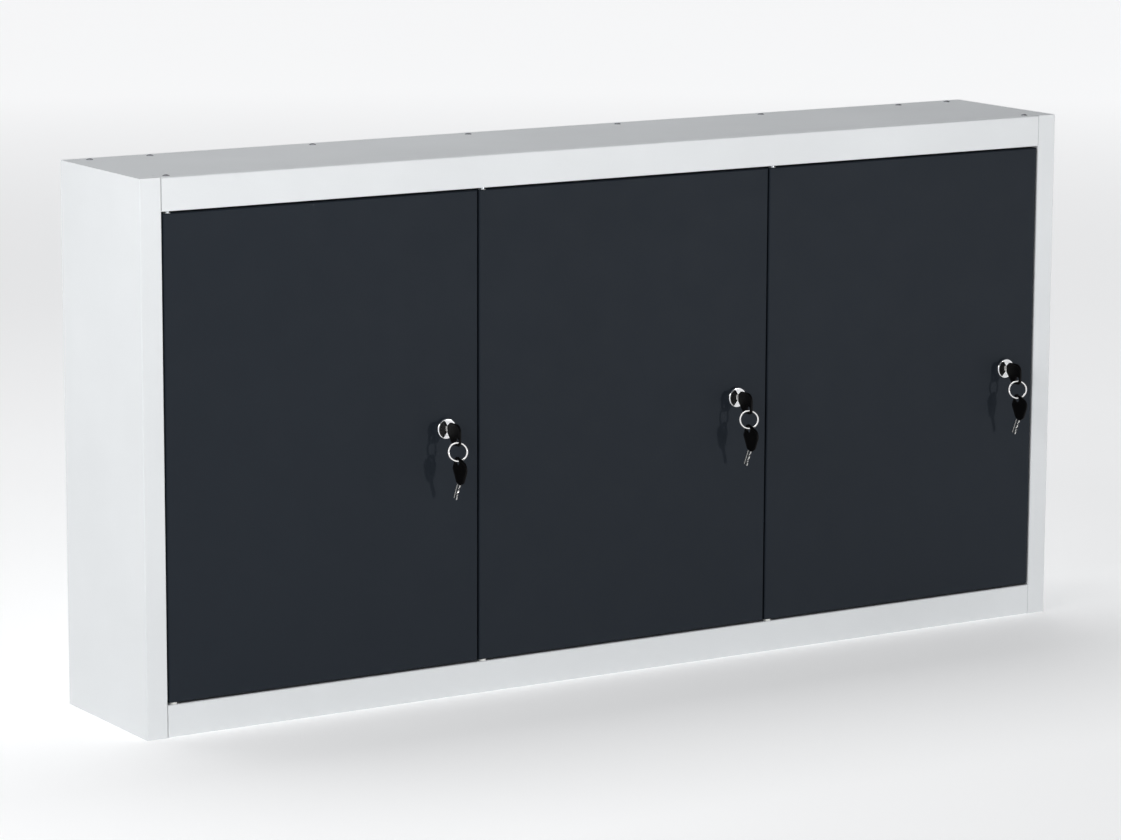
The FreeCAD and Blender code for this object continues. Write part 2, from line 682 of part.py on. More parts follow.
# ---------------------------------------------------------------------------------------------------------
# Locks.  A lock's own origin is its axis, on the door's front face; +Y is into the cabinet.
# ---------------------------------------------------------------------------------------------------------
def lock_housing(door, index):
    """A round rim in front of the door and a barrel through it, bored for the plug."""
    body = new_body(f"{door}_lock_housing")
    bore = "plug_radius + plug_clearance"
    collar = "plug_head + plug_clearance * 2"
    section = new_sketch(body, "XY_Plane", "section", [[
        (bore, "barrel_length"), ("barrel_radius", "barrel_length"), ("barrel_radius", "0"),
        ("rim_radius", "0"), ("rim_radius", "-rim_height"), (collar, "-rim_height"),
        (collar, "-rim_height + plug_collar"), (bore, "-rim_height + plug_collar"),
    ]])
    turned = spin(body, section)
    rim = f"Edge{edge_number(turned.Shape, size('rim_radius'), -size('rim_height'))}"
    rounded = body.newObject("PartDesign::Fillet", f"{body.Name}_rim")
    rounded.Base = (turned, [rim])
    bind(rounded, "Radius", "rim_round")
    lock_place(body, index)
    return body


def edge_number(shape, radius, y):
    """The number of the round edge of a given radius at a given Y."""
    for number, edge in enumerate(shape.Edges, start=1):
        if (isinstance(edge.Curve, Part.Circle) and close(edge.Curve.Radius, radius)
                and close(edge.Curve.Center.y, y)):
            return number
    raise ValueError("no such round edge")


def lock_nut(door, index):
    """A hexagon nut that clamps the housing to the door sheet."""
    body = new_body(f"{door}_lock_nut")
    corners = [(f"nut_radius * cos({turn})", f"nut_radius * sin({turn})") for turn in range(0, 360, 60)]
    outline = new_sketch(body, "XZ_Plane", "outline", [corners], [("0", "0", "barrel_radius")],
                         offset="-gauge")
    extrude(body, outline, "Pad", "nut_thickness", reverse=True)
    lock_place(body, index)
    return body


def lock_plug(door, index):
    """The turning plug: keyway in front, square seat for the cam and a screw hole behind."""
    body = new_body(f"{door}_lock_plug")
    collar_back = "-rim_height + plug_collar - plug_clearance"
    end = "barrel_length + plug_end_play"
    section = new_sketch(body, "XY_Plane", "section", [[
        ("0", "-rim_height"), ("plug_head", "-rim_height"), ("plug_head", collar_back),
        ("plug_radius", collar_back), ("plug_radius", end), ("0", end),
    ]])
    spin(body, section)
    seat = new_sketch(body, "XZ_Plane", "seat", [rectangle(
        "-cam_seat / 2", "-cam_seat / 2", "cam_seat / 2", "cam_seat / 2")], offset="-barrel_length")
    extrude(body, seat, "Pad", "cam_gap + cam_thickness", reverse=True)
    keyway = new_sketch(body, "XZ_Plane", "keyway", [rectangle(
        "-keyway_width / 2", "-keyway_height / 2", "keyway_width / 2", "keyway_height / 2")],
        offset="rim_height")
    extrude(body, keyway, "Pocket", "keyway_depth")
    screw_hole = new_sketch(body, "XZ_Plane", "screw_hole", circles=[("0", "0", "screw_radius")],
                            offset="-barrel_length - cam_gap - cam_thickness")
    extrude(body, screw_hole, "Pocket", "screw_length", reverse=True)
    lock_place(body, index)
    return body


def lock_cam(door, index):
    """A flat cam on the square seat, upright when the door is free to open."""
    body = new_body(f"{door}_lock_cam")
    half = "cam_width / 2"
    outline = new_sketch(body, "XZ_Plane", "outline", [
        rectangle(f"-{half}", "-cam_tail", half, "cam_length"),
        rectangle("-cam_seat / 2", "-cam_seat / 2", "cam_seat / 2", "cam_seat / 2"),
    ], offset="-barrel_length - cam_gap")
    plate = extrude(body, outline, "Pad", "cam_thickness", reverse=True)
    tip, tail = size("cam_length"), -size("cam_tail")
    side = size("cam_width") / 2

    def corner(start, end):
        return (close(abs(start.x), side) and close(start.x, end.x) and close(start.z, end.z)
                and (close(start.z, tip) or close(start.z, tail)))

    round_edges(body, plate, "cam_round", corner)
    lock_place(body, index)
    return body


def cam_screw(door, index):
    """The screw that holds the cam on the plug."""
    body = new_body(f"{door}_cam_screw")
    face = "barrel_length + cam_gap + cam_thickness"
    section = new_sketch(body, "XY_Plane", "section", [[
        ("0", f"{face} - screw_length"), ("screw_radius", f"{face} - screw_length"), ("screw_radius", face),
        ("screw_head_radius", face), ("screw_head_radius", f"{face} + screw_head_height"),
        ("0", f"{face} + screw_head_height"),
    ]])
    spin(body, section)
    recess = new_sketch(body, "XZ_Plane", "recess", [rectangle(
        "-recess_width / 2", "-recess_length / 2", "recess_width / 2", "recess_length / 2")],
        offset=f"-({face}) - screw_head_height")
    extrude(body, recess, "Pocket", "recess_depth", reverse=True)
    lock_place(body, index)
    return body


# ---------------------------------------------------------------------------------------------------------
# Keys.  A key's own origin is the lock axis on the door's front face, where it stands when inserted.
# ---------------------------------------------------------------------------------------------------------
def key_head(label):
    """The moulded head: a one-sided grip with a rounded corner, the ring's hole and a slot for the tang."""
    body = new_body(label)
    neck, tip = "-key_standoff", "-key_standoff - key_head_length"
    outline = new_sketch(body, "YZ_Plane", "outline", [[
        (neck, "-key_neck"), (neck, "key_neck"), (f"{neck} - key_shoulder", "key_head_above"),
        (tip, "key_head_above"), (tip, "-key_head_below"), (f"{neck} - key_heel", "-key_head_below"),
    ]], [(f"{neck} - key_hole_along", "-key_hole_below", "key_hole_radius")])
    plate = extrude(body, outline, "Pad", "key_head_thickness", both_ways=True)
    neck_y = -size("key_standoff")
    tip_y, heel_y = neck_y - size("key_head_length"), neck_y - size("key_heel")
    shoulder_y = neck_y - size("key_shoulder")
    above, below = size("key_head_above"), -size("key_head_below")
    for radius, corners in (("key_crown_round", [(tip_y, above)]),
                            ("key_foot_round", [(tip_y, below), (heel_y, below)]),
                            ("key_shoulder_round", [(shoulder_y, above)])):
        plate = round_edges(body, plate, radius, lambda start, stop: any(
            close(start.y, y) and close(stop.y, y) and close(start.z, z) and close(stop.z, z)
            for y, z in corners))
    slot = new_sketch(body, "YZ_Plane", "tang_slot", [rectangle(
        f"{neck} - tang_length", "-blade_height / 2", neck, "blade_height / 2")])
    extrude(body, slot, "Pocket", "blade_thickness", both_ways=True)
    return body


def key_blade(label):
    """The metal blade with its cuts, and the tang that the head is moulded round."""
    body = new_body(label)
    neck = "-key_standoff"
    low, high = "-blade_height / 2", "blade_height / 2"
    cuts = []
    for step, depth in enumerate(CUT_DEPTHS):
        start = f"{neck} + first_cut + {step} * cut_pitch"
        cuts += [(start, high), (f"{start} + cut_slope", f"{high} - {depth}"),
                 (f"{start} + cut_slope + cut_floor", f"{high} - {depth}"),
                 (f"{start} + 2 * cut_slope + cut_floor", high)]
    outline = new_sketch(body, "YZ_Plane", "outline", [[
        (f"{neck} - tang_length", low), (f"{neck} + blade_length - blade_bevel", low),
        (f"{neck} + blade_length", "nose_rise"), (f"{neck} + blade_length - blade_nose", high),
        *reversed(cuts), (f"{neck} - tang_length", high),
    ]])
    extrude(body, outline, "Pad", "blade_thickness", both_ways=True)
    return body


def key_ring(door, index):
    """The ring, hanging in the hole of the inserted key's head."""
    ring = doc.addObject("Part::Torus", f"{door}_key_ring")
    ring.Label = f"{door}_key_ring"
    bind(ring, "Radius1", "ring_radius")
    bind(ring, "Radius2", "ring_wire")
    ring.Placement = Placement(Vector(), Rotation(Vector(0, 0, 1), -size("ring_yaw"))
                               * Rotation(Vector(1, 0, 0), 90))
    place(ring, x=f"{door_edge(index)} + {DOOR_WIDTH} - lock_inset",
          y=f"{FRONT} - key_standoff - key_hole_along",
          z="lock_rise - key_hole_below - ring_drop - ring_radius")
    return ring


def hang_spare(piece, index):
    """Hang a piece of the spare key by its hole from the bottom of the ring."""
    yaw, tilt = math.radians(size("spare_yaw")), math.radians(size("spare_tilt"))
    across = Vector(math.sin(yaw), -math.cos(yaw), 0)
    up = Vector(0, 0, 1)
    along = across * -math.sin(tilt) + up * -math.cos(tilt)
    plain_side = across * math.cos(tilt) + up * -math.sin(tilt)
    turn = Rotation(along.cross(plain_side), along, plain_side, "XYZ")
    edge, door_width = door_edge_size(index)
    hole = Vector(0, -size("key_standoff") - size("key_hole_along"), -size("key_hole_below"))
    ring_foot = size("lock_rise") - size("key_hole_below") - 2 * size("ring_drop") - 2 * size("ring_radius")
    target = Vector(edge + door_width - size("lock_inset"), -size("overall_depth") + hole.y, ring_foot)
    piece.Placement = Placement(target - turn.multVec(hole), turn)
    return piece


# ---------------------------------------------------------------------------------------------------------
# Hook rails and pegs on the back of each compartment
# ---------------------------------------------------------------------------------------------------------
def compartment_middle(index):
    """The middle of a compartment, across the cabinet."""
    edge, door_width = door_edge_size(index)
    return edge + door_width / 2


def rail_heights():
    """The middle of each hook rail, from the lowest up."""
    middle = (RAILS_PER_COMPARTMENT - 1) / 2
    return [(number - middle) * size("hook_rail_pitch") for number in range(RAILS_PER_COMPARTMENT)]


def hook_rails(door, index):
    """Shallow channels, open at the back, fixed to the back panel one above the other."""
    long, high, deep = size("hook_rail_length"), size("hook_rail_height"), size("hook_rail_depth")
    gauge = size("gauge")
    rails = []
    for height in rail_heights():
        corner = Vector(compartment_middle(index) - long / 2, -gauge - deep, height - high / 2)
        channel = Part.makeBox(long, deep, high, corner)
        front_folds = [edge for edge in channel.Edges
                       if close(edge.BoundBox.YMax, corner.y) and edge.BoundBox.XLength > long / 2]
        channel = channel.makeFillet(size("bend_outside"), front_folds)
        hollow = Part.makeBox(long, deep, high - 2 * gauge, corner + Vector(0, gauge, gauge))
        rails.append(channel.cut(hollow))
    return solids(f"{door}_hook_rails", rails)


def key_pegs(door, index):
    """Upward-sloping round-ended pegs, each on a small foot against its rail."""
    rise = math.radians(size("peg_rise"))
    out = Vector(0, -math.cos(rise), math.sin(rise))
    rail_front = -size("gauge") - size("hook_rail_depth")
    radius, foot_height = size("peg_radius"), size("peg_foot_height")
    foot = Part.makeCylinder(size("peg_foot_radius"), foot_height, Vector(0, rail_front, 0), Vector(0, -1, 0))
    root = Vector(0, rail_front - foot_height, 0)
    shank = Part.makeCylinder(radius, size("peg_length"), root, out)
    tip = Part.makeSphere(radius, root + out * size("peg_length"))
    peg = foot.fuse([shank, tip]).removeSplitter()
    pegs = []
    for height in rail_heights():
        for number in range(PEGS_PER_RAIL):
            copy = peg.copy()
            step = (number - (PEGS_PER_RAIL - 1) / 2) * size("peg_pitch")
            copy.translate(Vector(compartment_middle(index) + step, 0, height - size("peg_drop")))
            pegs.append(copy)
    return solids(f"{door}_key_pegs", pegs)


# ---------------------------------------------------------------------------------------------------------
# Build every piece
# ---------------------------------------------------------------------------------------------------------
for side in ("left", "right"):
    keep(side_panel(side))
blank = end_panel_blank()
drills = rivet_holes()
mirrored = doc.addObject("Part::Mirroring", "bottom_panel_blank")
mirrored.Source = blank
mirrored.Normal = Vector(0, 0, 1)
doc.recompute()
top_drilled = cut("top_panel_riveted", blank, drills)
keep(cut("top_panel", top_drilled, hinge_drills("upper_hinge_drills", upper=True)))
keep(cut("bottom_panel", mirrored, hinge_drills("lower_hinge_drills", upper=False)))
keep(back_panel(drills))
for side, index in PARTITIONS:
    keep(partition(side, index))
keep(partition_strikes())
keep(top_rivets())
keep(hinge_pins("lower_hinge_pins", upper=False))
keep(hinge_pins("upper_hinge_pins", upper=True))
keep(hinge_washers())

for index, door in enumerate(DOORS):
    keep(door_panel(door, index))
    keep(door_stiffener(door, index))
    keep(door_bushes(door, index))
    keep(door_buffers(door, index))
    keep(lock_housing(door, index))
    keep(lock_nut(door, index))
    keep(lock_plug(door, index))
    keep(lock_cam(door, index))
    keep(cam_screw(door, index))
    for make, label in ((key_head, "key_head"), (key_blade, "key_blade")):
        inserted = keep(make(f"{door}_{label}"))
        lock_place(inserted, index)
        keep(hang_spare(make(f"{door}_spare_{label}"), index))
    keep(key_ring(door, index))
    keep(hook_rails(door, index))
    keep(key_pegs(door, index))

# ---------------------------------------------------------------------------------------------------------
# Check and export
# ---------------------------------------------------------------------------------------------------------
doc.recompute()
for thing in doc.Objects:
    if {"Invalid", "Error"} & set(thing.State):
        raise RuntimeError(f"{thing.Label} failed: {thing.State}")
for piece in pieces:
    if piece.Shape.isNull() or not piece.Shape.isValid() or not piece.Shape.Solids:
        raise RuntimeError(f"{piece.Label} has no valid solid")
    piece.Shape.exportStep(f"parts/{piece.Label}.step")
    bounds = piece.Shape.BoundBox
    print(f"{piece.Label}: {len(piece.Shape.Solids)} solid(s), {piece.Shape.Volume:.1f} mm3, "
          f"X {bounds.XMin:.2f}..{bounds.XMax:.2f}, Y {bounds.YMin:.2f}..{bounds.YMax:.2f}, "
          f"Z {bounds.ZMin:.2f}..{bounds.ZMax:.2f}")
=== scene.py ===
"""Three-door steel key cabinet: finishes, turned and moulded parts, and studio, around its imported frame.

Lengths in this file are in millimetres until a mesh is made, and a mesh is in metres.
X is to the right, +Y towards the wall, +Z up.
"""

import json
import math

import bmesh
import bpy
import numpy as np
from mathutils import Matrix, Vector


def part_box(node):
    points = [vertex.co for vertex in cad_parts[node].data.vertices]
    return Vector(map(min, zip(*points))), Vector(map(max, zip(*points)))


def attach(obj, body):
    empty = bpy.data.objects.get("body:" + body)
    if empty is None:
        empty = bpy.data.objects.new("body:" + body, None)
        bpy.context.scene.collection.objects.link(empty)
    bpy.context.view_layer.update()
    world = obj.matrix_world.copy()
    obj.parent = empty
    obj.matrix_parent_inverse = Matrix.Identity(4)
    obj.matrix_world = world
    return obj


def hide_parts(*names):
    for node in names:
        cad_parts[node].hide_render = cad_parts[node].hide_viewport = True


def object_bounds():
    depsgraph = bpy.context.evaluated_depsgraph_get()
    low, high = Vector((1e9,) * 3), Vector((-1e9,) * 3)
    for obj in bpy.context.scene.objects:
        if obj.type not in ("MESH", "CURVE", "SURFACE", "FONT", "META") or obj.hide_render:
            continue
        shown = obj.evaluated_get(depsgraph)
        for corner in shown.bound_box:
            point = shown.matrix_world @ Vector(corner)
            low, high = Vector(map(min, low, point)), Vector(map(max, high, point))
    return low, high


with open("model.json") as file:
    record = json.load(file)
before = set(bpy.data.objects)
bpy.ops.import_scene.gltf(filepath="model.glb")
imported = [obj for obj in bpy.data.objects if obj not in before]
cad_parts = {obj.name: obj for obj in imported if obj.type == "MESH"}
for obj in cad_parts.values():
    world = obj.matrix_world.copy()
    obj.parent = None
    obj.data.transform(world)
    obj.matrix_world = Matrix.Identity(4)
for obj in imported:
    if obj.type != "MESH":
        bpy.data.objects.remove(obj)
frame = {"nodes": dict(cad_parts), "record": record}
cad_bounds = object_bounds()

MM = 0.001
DOORS = ("left", "centre", "right")
FRONT = -190.0

# Lock: its axis from the door's closing edge and above the door's middle
LOCK_INSET, LOCK_RISE = 41.0, 3.0

# Key: the head starts in front of the door; the ring's hole is placed from the lock's axis
HEAD_STANDOFF = 6.0
HOLE = np.array([0.0, -27.0, -10.3])
HOLE_RADIUS = 3.5
HEAD_SHARP, BLADE_SHARP = 50.0, 28.0

# Ring: its middle circle hangs from the hole; the spare key hangs from the ring's foot
RING_DROP = 1.5
RING_RADIUS = 10.1
RING_YAW = math.radians(32.0)
SPARE_YAW, SPARE_TILT = math.radians(5.0), math.radians(22.0)

# Hook rails, their number strips and the spot welds that hold them
RAILS, PEGS = 5, 7
RAIL_PITCH, PEG_PITCH, RAIL_FRONT = 104.0, 48.0, -11.0
STRIP_LENGTH, STRIP_HEIGHT, STRIP_THICKNESS, STRIP_RISE = 336.0, 9.0, 0.3, 6.3
NUMBER_HEIGHT, CAPITAL_SHARE, INK_THICKNESS = 4.6, 0.7, 0.02
WELD_ACROSS, WELD_ABOVE = (60.0, 150.0), (-11.5, 11.5)

# Studio, in metres
FLOOR_REACH, FLOOR_GAP = 40.0, 0.0002


# ---------------------------------------------------------------------------------------------------------
# Material nodes
# ---------------------------------------------------------------------------------------------------------
def start_material(name):
    """A new material: its node tree, its shader and the coordinates of the object in metres."""
    material = bpy.data.materials.new(name)
    material.use_nodes = True
    tree = material.node_tree
    surface = tree.nodes["Principled BSDF"]
    places = tree.nodes.new("ShaderNodeTexCoord").outputs["Object"]
    return material, tree, surface, places


def stretched(tree, places, scale):
    """Coordinates multiplied by one factor along each axis."""
    mapping = tree.nodes.new("ShaderNodeMapping")
    mapping.inputs["Scale"].default_value = scale
    tree.links.new(places, mapping.inputs["Vector"])
    return mapping.outputs["Vector"]


def noise(tree, places, per_metre, detail=2.0, roughness=0.5):
    """A cloudy value between 0 and 1 with so many features to the metre."""
    node = tree.nodes.new("ShaderNodeTexNoise")
    node.inputs["Scale"].default_value = per_metre
    node.inputs["Detail"].default_value = detail
    node.inputs["Roughness"].default_value = roughness
    tree.links.new(places, node.inputs["Vector"])
    return node.outputs["Fac"]


def cells(tree, places, per_metre):
    """Distance to the nearest of scattered points."""
    node = tree.nodes.new("ShaderNodeTexVoronoi")
    node.inputs["Scale"].default_value = per_metre
    tree.links.new(places, node.inputs["Vector"])
    return node.outputs["Distance"]


def spread(tree, value, low, high, from_low=0.3, from_high=0.7):
    """A value stretched from one range to another and held inside it."""
    node = tree.nodes.new("ShaderNodeMapRange")
    for name, number in (("From Min", from_low), ("From Max", from_high), ("To Min", low), ("To Max", high)):
        node.inputs[name].default_value = number
    tree.links.new(value, node.inputs["Value"])
    return node.outputs["Result"]


def blend_colours(tree, value, first, second):
    """One colour where the value is 0, the other where it is 1."""
    node = tree.nodes.new("ShaderNodeMix")
    node.data_type = "RGBA"
    tree.links.new(value, node.inputs["Factor"])
    for socket, colour in (("A", first), ("B", second)):
        target = next(item for item in node.inputs if item.name == socket and item.type == "RGBA")
        if isinstance(colour, tuple):
            target.default_value = (*colour, 1.0)
        else:
            tree.links.new(colour, target)
    return next(item for item in node.outputs if item.type == "RGBA")


def added(tree, first, second):
    """The sum of two values."""
    node = tree.nodes.new("ShaderNodeMath")
    node.operation = "ADD"
    tree.links.new(first, node.inputs[0])
    tree.links.new(second, node.inputs[1])
    return node.outputs["Value"]


def relief(tree, surface, height, depth, below=None):
    """Raise the surface by a height map whose full step is a depth in millimetres."""
    bump = tree.nodes.new("ShaderNodeBump")
    bump.inputs["Strength"].default_value = 1.0
    bump.inputs["Distance"].default_value = depth * MM
    tree.links.new(height, bump.inputs["Height"])
    if below is not None:
        tree.links.new(below, bump.inputs["Normal"])
    tree.links.new(bump.outputs["Normal"], surface.inputs["Normal"])
    return bump.outputs["Normal"]


def shade(colour, factor):
    """A colour made lighter or darker."""
    return tuple(min(1.0, part * factor) for part in colour)


def powder_coat(name, colour, roughness, specular, peel, fleck):
    """Baked powder coat: an orange-peel skin, fine grain, a faint cloudiness and scattered tiny flecks."""
    cloud_scale, fleck_scale, rub_scale, peel_scale, grain_scale = 5.0, 1900.0, 26.0, 620.0, 2600.0
    grain_share = 0.12
    material, tree, surface, places = start_material(name)
    clouds = noise(tree, places, cloud_scale, detail=3.0)
    tint = blend_colours(tree, spread(tree, clouds, 0.0, 1.0), shade(colour, 0.965), shade(colour, 1.03))
    flecks = spread(tree, noise(tree, places, fleck_scale, detail=1.0), 0.0, fleck, 0.62, 0.72)
    tint = blend_colours(tree, flecks, tint, shade(colour, 0.55))
    tree.links.new(tint, surface.inputs["Base Color"])
    rub = noise(tree, places, rub_scale, detail=4.0, roughness=0.6)
    gloss = spread(tree, rub, roughness - 0.02, roughness + 0.025)
    tree.links.new(gloss, surface.inputs["Roughness"])
    surface.inputs["Specular IOR Level"].default_value = specular
    skin = relief(tree, surface, noise(tree, places, peel_scale, detail=1.5), peel)
    relief(tree, surface, noise(tree, places, grain_scale, detail=1.0), peel * grain_share, below=skin)
    return material


def plated_steel(name, colour, roughness, spangle, grain, along):
    """Plated steel: a mottled tint, a rolled or drawn grain along one axis and fine scuffs."""
    scuff_scale, grain_depth = 160.0, 0.006
    material, tree, surface, places = start_material(name)
    surface.inputs["Metallic"].default_value = 1.0
    patches = noise(tree, places, spangle, detail=3.0)
    tint = blend_colours(tree, spread(tree, patches, 0.0, 1.0), shade(colour, 0.82), shade(colour, 1.1))
    tree.links.new(tint, surface.inputs["Base Color"])
    lines = noise(tree, stretched(tree, places, along), grain, detail=2.0)
    scuffs = noise(tree, places, scuff_scale, detail=5.0, roughness=0.7)
    gloss = added(tree, spread(tree, lines, roughness - 0.06, roughness + 0.06),
                  spread(tree, scuffs, -0.03, 0.07))
    tree.links.new(gloss, surface.inputs["Roughness"])
    relief(tree, surface, lines, grain_depth)
    return material


def polished_plate(name, colour, roughness, scuffing):
    """Polished plating: nearly a mirror, with hairline scratches, a faint haze and handling marks."""
    haze_scale, hairline_scale, hairline_stretch = 120.0, 3200.0, (1.0, 6.0, 0.18)
    hairline_share, hairline_depth = 0.6, 0.0012
    material, tree, surface, places = start_material(name)
    surface.inputs["Metallic"].default_value = 1.0
    haze = noise(tree, places, haze_scale, detail=4.0, roughness=0.65)
    tint = blend_colours(tree, spread(tree, haze, 0.0, 1.0), shade(colour, 0.93), shade(colour, 1.04))
    tree.links.new(tint, surface.inputs["Base Color"])
    hairlines = noise(tree, stretched(tree, places, hairline_stretch), hairline_scale, detail=2.0)
    gloss = added(tree, spread(tree, haze, roughness, roughness + scuffing),
                  spread(tree, hairlines, 0.0, scuffing * hairline_share, 0.55, 0.75))
    tree.links.new(gloss, surface.inputs["Roughness"])
    relief(tree, surface, hairlines, hairline_depth)
    return material


def milled_blade(name, colour):
    """Nickel-plated blade: fine milling lines along its length, read from the blade's own map."""
    line_scale, line_stretch, patch_scale, line_depth = 5200.0, (0.05, 1.0, 1.0), 210.0, 0.004
    material, tree, surface, places = start_material(name)
    surface.inputs["Metallic"].default_value = 1.0
    own = tree.nodes.new("ShaderNodeUVMap")
    own.uv_map = "lengthwise"
    lines = noise(tree, stretched(tree, own.outputs["UV"], line_stretch), line_scale, detail=2.0)
    patches = noise(tree, places, patch_scale, detail=3.0)
    tint = blend_colours(tree, spread(tree, patches, 0.0, 1.0), shade(colour, 0.88), shade(colour, 1.08))
    tree.links.new(tint, surface.inputs["Base Color"])
    tree.links.new(spread(tree, lines, 0.16, 0.34), surface.inputs["Roughness"])
    relief(tree, surface, lines, line_depth)
    return material


def moulded(name, colour, roughness, grain, depth, specular):
    """Moulded plastic or rubber: an even fine grain, with slightly shinier patches where it is handled."""
    tone_scale, handling_scale = 90.0, 140.0
    material, tree, surface, places = start_material(name)
    tone = noise(tree, places, tone_scale, detail=3.0)
    tint = blend_colours(tree, spread(tree, tone, 0.0, 1.0), shade(colour, 0.85), shade(colour, 1.2))
    tree.links.new(tint, surface.inputs["Base Color"])
    handled = noise(tree, places, handling_scale, detail=3.0)
    gloss = spread(tree, handled, roughness - 0.08, roughness + 0.08)
    tree.links.new(gloss, surface.inputs["Roughness"])
    surface.inputs["Specular IOR Level"].default_value = specular
    relief(tree, surface, cells(tree, places, grain), depth)
    return material


def label_card(name, colour):
    """Matt printed card: short pale fibres and a slightly uneven tone."""
    fibre_scale, fibre_stretch, tone_scale, fibre_depth = 1700.0, (1.0, 1.0, 3.5), 22.0, 0.01
    material, tree, surface, places = start_material(name)
    fibres = noise(tree, stretched(tree, places, fibre_stretch), fibre_scale, detail=3.0)
    tone = noise(tree, places, tone_scale, detail=2.0)
    paper = blend_colours(tree, spread(tree, tone, 0.0, 1.0), shade(colour, 0.95), shade(colour, 1.02))
    tint = blend_colours(tree, spread(tree, fibres, 0.0, 0.35), paper, shade(colour, 0.86))
    tree.links.new(tint, surface.inputs["Base Color"])
    tree.links.new(spread(tree, fibres, 0.62, 0.8), surface.inputs["Roughness"])
    relief(tree, surface, fibres, fibre_depth)
    return material


def printed_ink(name, colour):
    """Printed ink: dense, with thin spots where the card's fibres show."""
    spot_scale, spot_depth = 2400.0, 0.004
    material, tree, surface, places = start_material(name)
    thin = noise(tree, places, spot_scale, detail=2.0)
    tint = blend_colours(tree, spread(tree, thin, 0.0, 1.0, 0.5, 0.8), colour, shade(colour, 3.0))
    tree.links.new(tint, surface.inputs["Base Color"])
    tree.links.new(spread(tree, thin, 0.45, 0.7), surface.inputs["Roughness"])
    relief(tree, surface, thin, spot_depth)
    return material


def studio_floor(name, colour, near_glow, far_glow):
    """A smooth pale sheet, faintly uneven, that gives back a little light, and more of it further out."""
    tone_scale, near_edge, far_edge = 1.5, 1.2, 6.0
    material, tree, surface, places = start_material(name)
    tone = noise(tree, places, tone_scale, detail=2.0)
    tint = blend_colours(tree, spread(tree, tone, 0.0, 1.0), shade(colour, 0.985), shade(colour, 1.01))
    tree.links.new(tint, surface.inputs["Base Color"])
    surface.inputs["Roughness"].default_value = 0.75
    surface.inputs["Specular IOR Level"].default_value = 0.1
    surface.inputs["Emission Color"].default_value = (1.0, 1.0, 1.0, 1.0)
    length = tree.nodes.new("ShaderNodeVectorMath")
    length.operation = "LENGTH"
    tree.links.new(places, length.inputs[0])
    glow = spread(tree, length.outputs["Value"], near_glow, far_glow, near_edge, far_edge)
    tree.links.new(glow, surface.inputs["Emission Strength"])
    return material


EVEN_GRAIN, DRAWN_GRAIN = (1.0, 1.0, 1.0), (1.0, 0.3, 0.12)
FINISHES = {
    "carcass_paint": powder_coat("light_grey_powder_coat", (0.80, 0.82, 0.83), roughness=0.40,
                                 specular=0.45, peel=0.05, fleck=0.10),
    "rail_paint": powder_coat("hook_rail_powder_coat", (0.72, 0.74, 0.75), roughness=0.44,
                              specular=0.45, peel=0.05, fleck=0.10),
    "door_paint": powder_coat("anthracite_powder_coat", (0.0155, 0.0208, 0.0285), roughness=0.50,
                              specular=0.09, peel=0.06, fleck=0.25),
    "rivet_steel": plated_steel("dull_rivet_steel", (0.17, 0.175, 0.19), roughness=0.42,
                                spangle=260.0, grain=1800.0, along=EVEN_GRAIN),
    "zinc_steel": plated_steel("bright_zinc_plate", (0.62, 0.65, 0.68), roughness=0.34,
                               spangle=130.0, grain=1500.0, along=DRAWN_GRAIN),
    "lock_chrome": polished_plate("polished_chrome", (0.95, 0.955, 0.965), roughness=0.04, scuffing=0.05),
    "ring_steel": polished_plate("polished_nickel", (0.90, 0.89, 0.88), roughness=0.08, scuffing=0.08),
    "key_metal": milled_blade("milled_nickel", (0.72, 0.71, 0.69)),
    "key_plastic": moulded("black_moulded_plastic", (0.0035, 0.0034, 0.0036), roughness=0.46,
                           grain=2600.0, depth=0.02, specular=0.05),
    "nylon": moulded("white_nylon", (0.78, 0.78, 0.75), roughness=0.45, grain=1200.0, depth=0.01,
                     specular=0.5),
    "rubber": moulded("black_rubber", (0.022, 0.022, 0.022), roughness=0.82, grain=1500.0, depth=0.02,
                      specular=0.3),
}
CARD = label_card("label_card", (0.84, 0.84, 0.81))
INK = printed_ink("label_ink", (0.02, 0.02, 0.024))
FLOOR = studio_floor("studio_floor", (0.92, 0.92, 0.92), near_glow=0.40, far_glow=0.80)

for subpart in frame["record"]["subparts"]:
    node = frame["nodes"][subpart["node"]]
    for place in node.material_slots:
        place.material = FINISHES[subpart["material_slot"]]


# ---------------------------------------------------------------------------------------------------------
# Surfaces from arrays
# ---------------------------------------------------------------------------------------------------------
def grid_faces(rows, columns, close_rows=False, close_columns=True):
    """Quads between neighbouring rows and columns of a grid of points, with its seams joined if asked."""
    row = np.arange(rows if close_rows else rows - 1)[:, None]
    column = np.arange(columns if close_columns else columns - 1)[None, :]
    next_row, next_column = (row + 1) % rows, (column + 1) % columns
    corners = (row * columns + column, row * columns + next_column,
               next_row * columns + next_column, next_row * columns + column)
    return np.stack(np.broadcast_arrays(*corners), axis=-1).reshape(-1, 4)


def face_outward(points, faces):
    """Turn the faces round if the closed surface would hold a negative volume."""
    first, second, third, fourth = (points[faces[:, corner]] for corner in range(4))
    volume = np.einsum("ij,ij->", first, np.cross(second, third) + np.cross(third, fourth))
    return faces if volume > 0 else faces[:, ::-1]


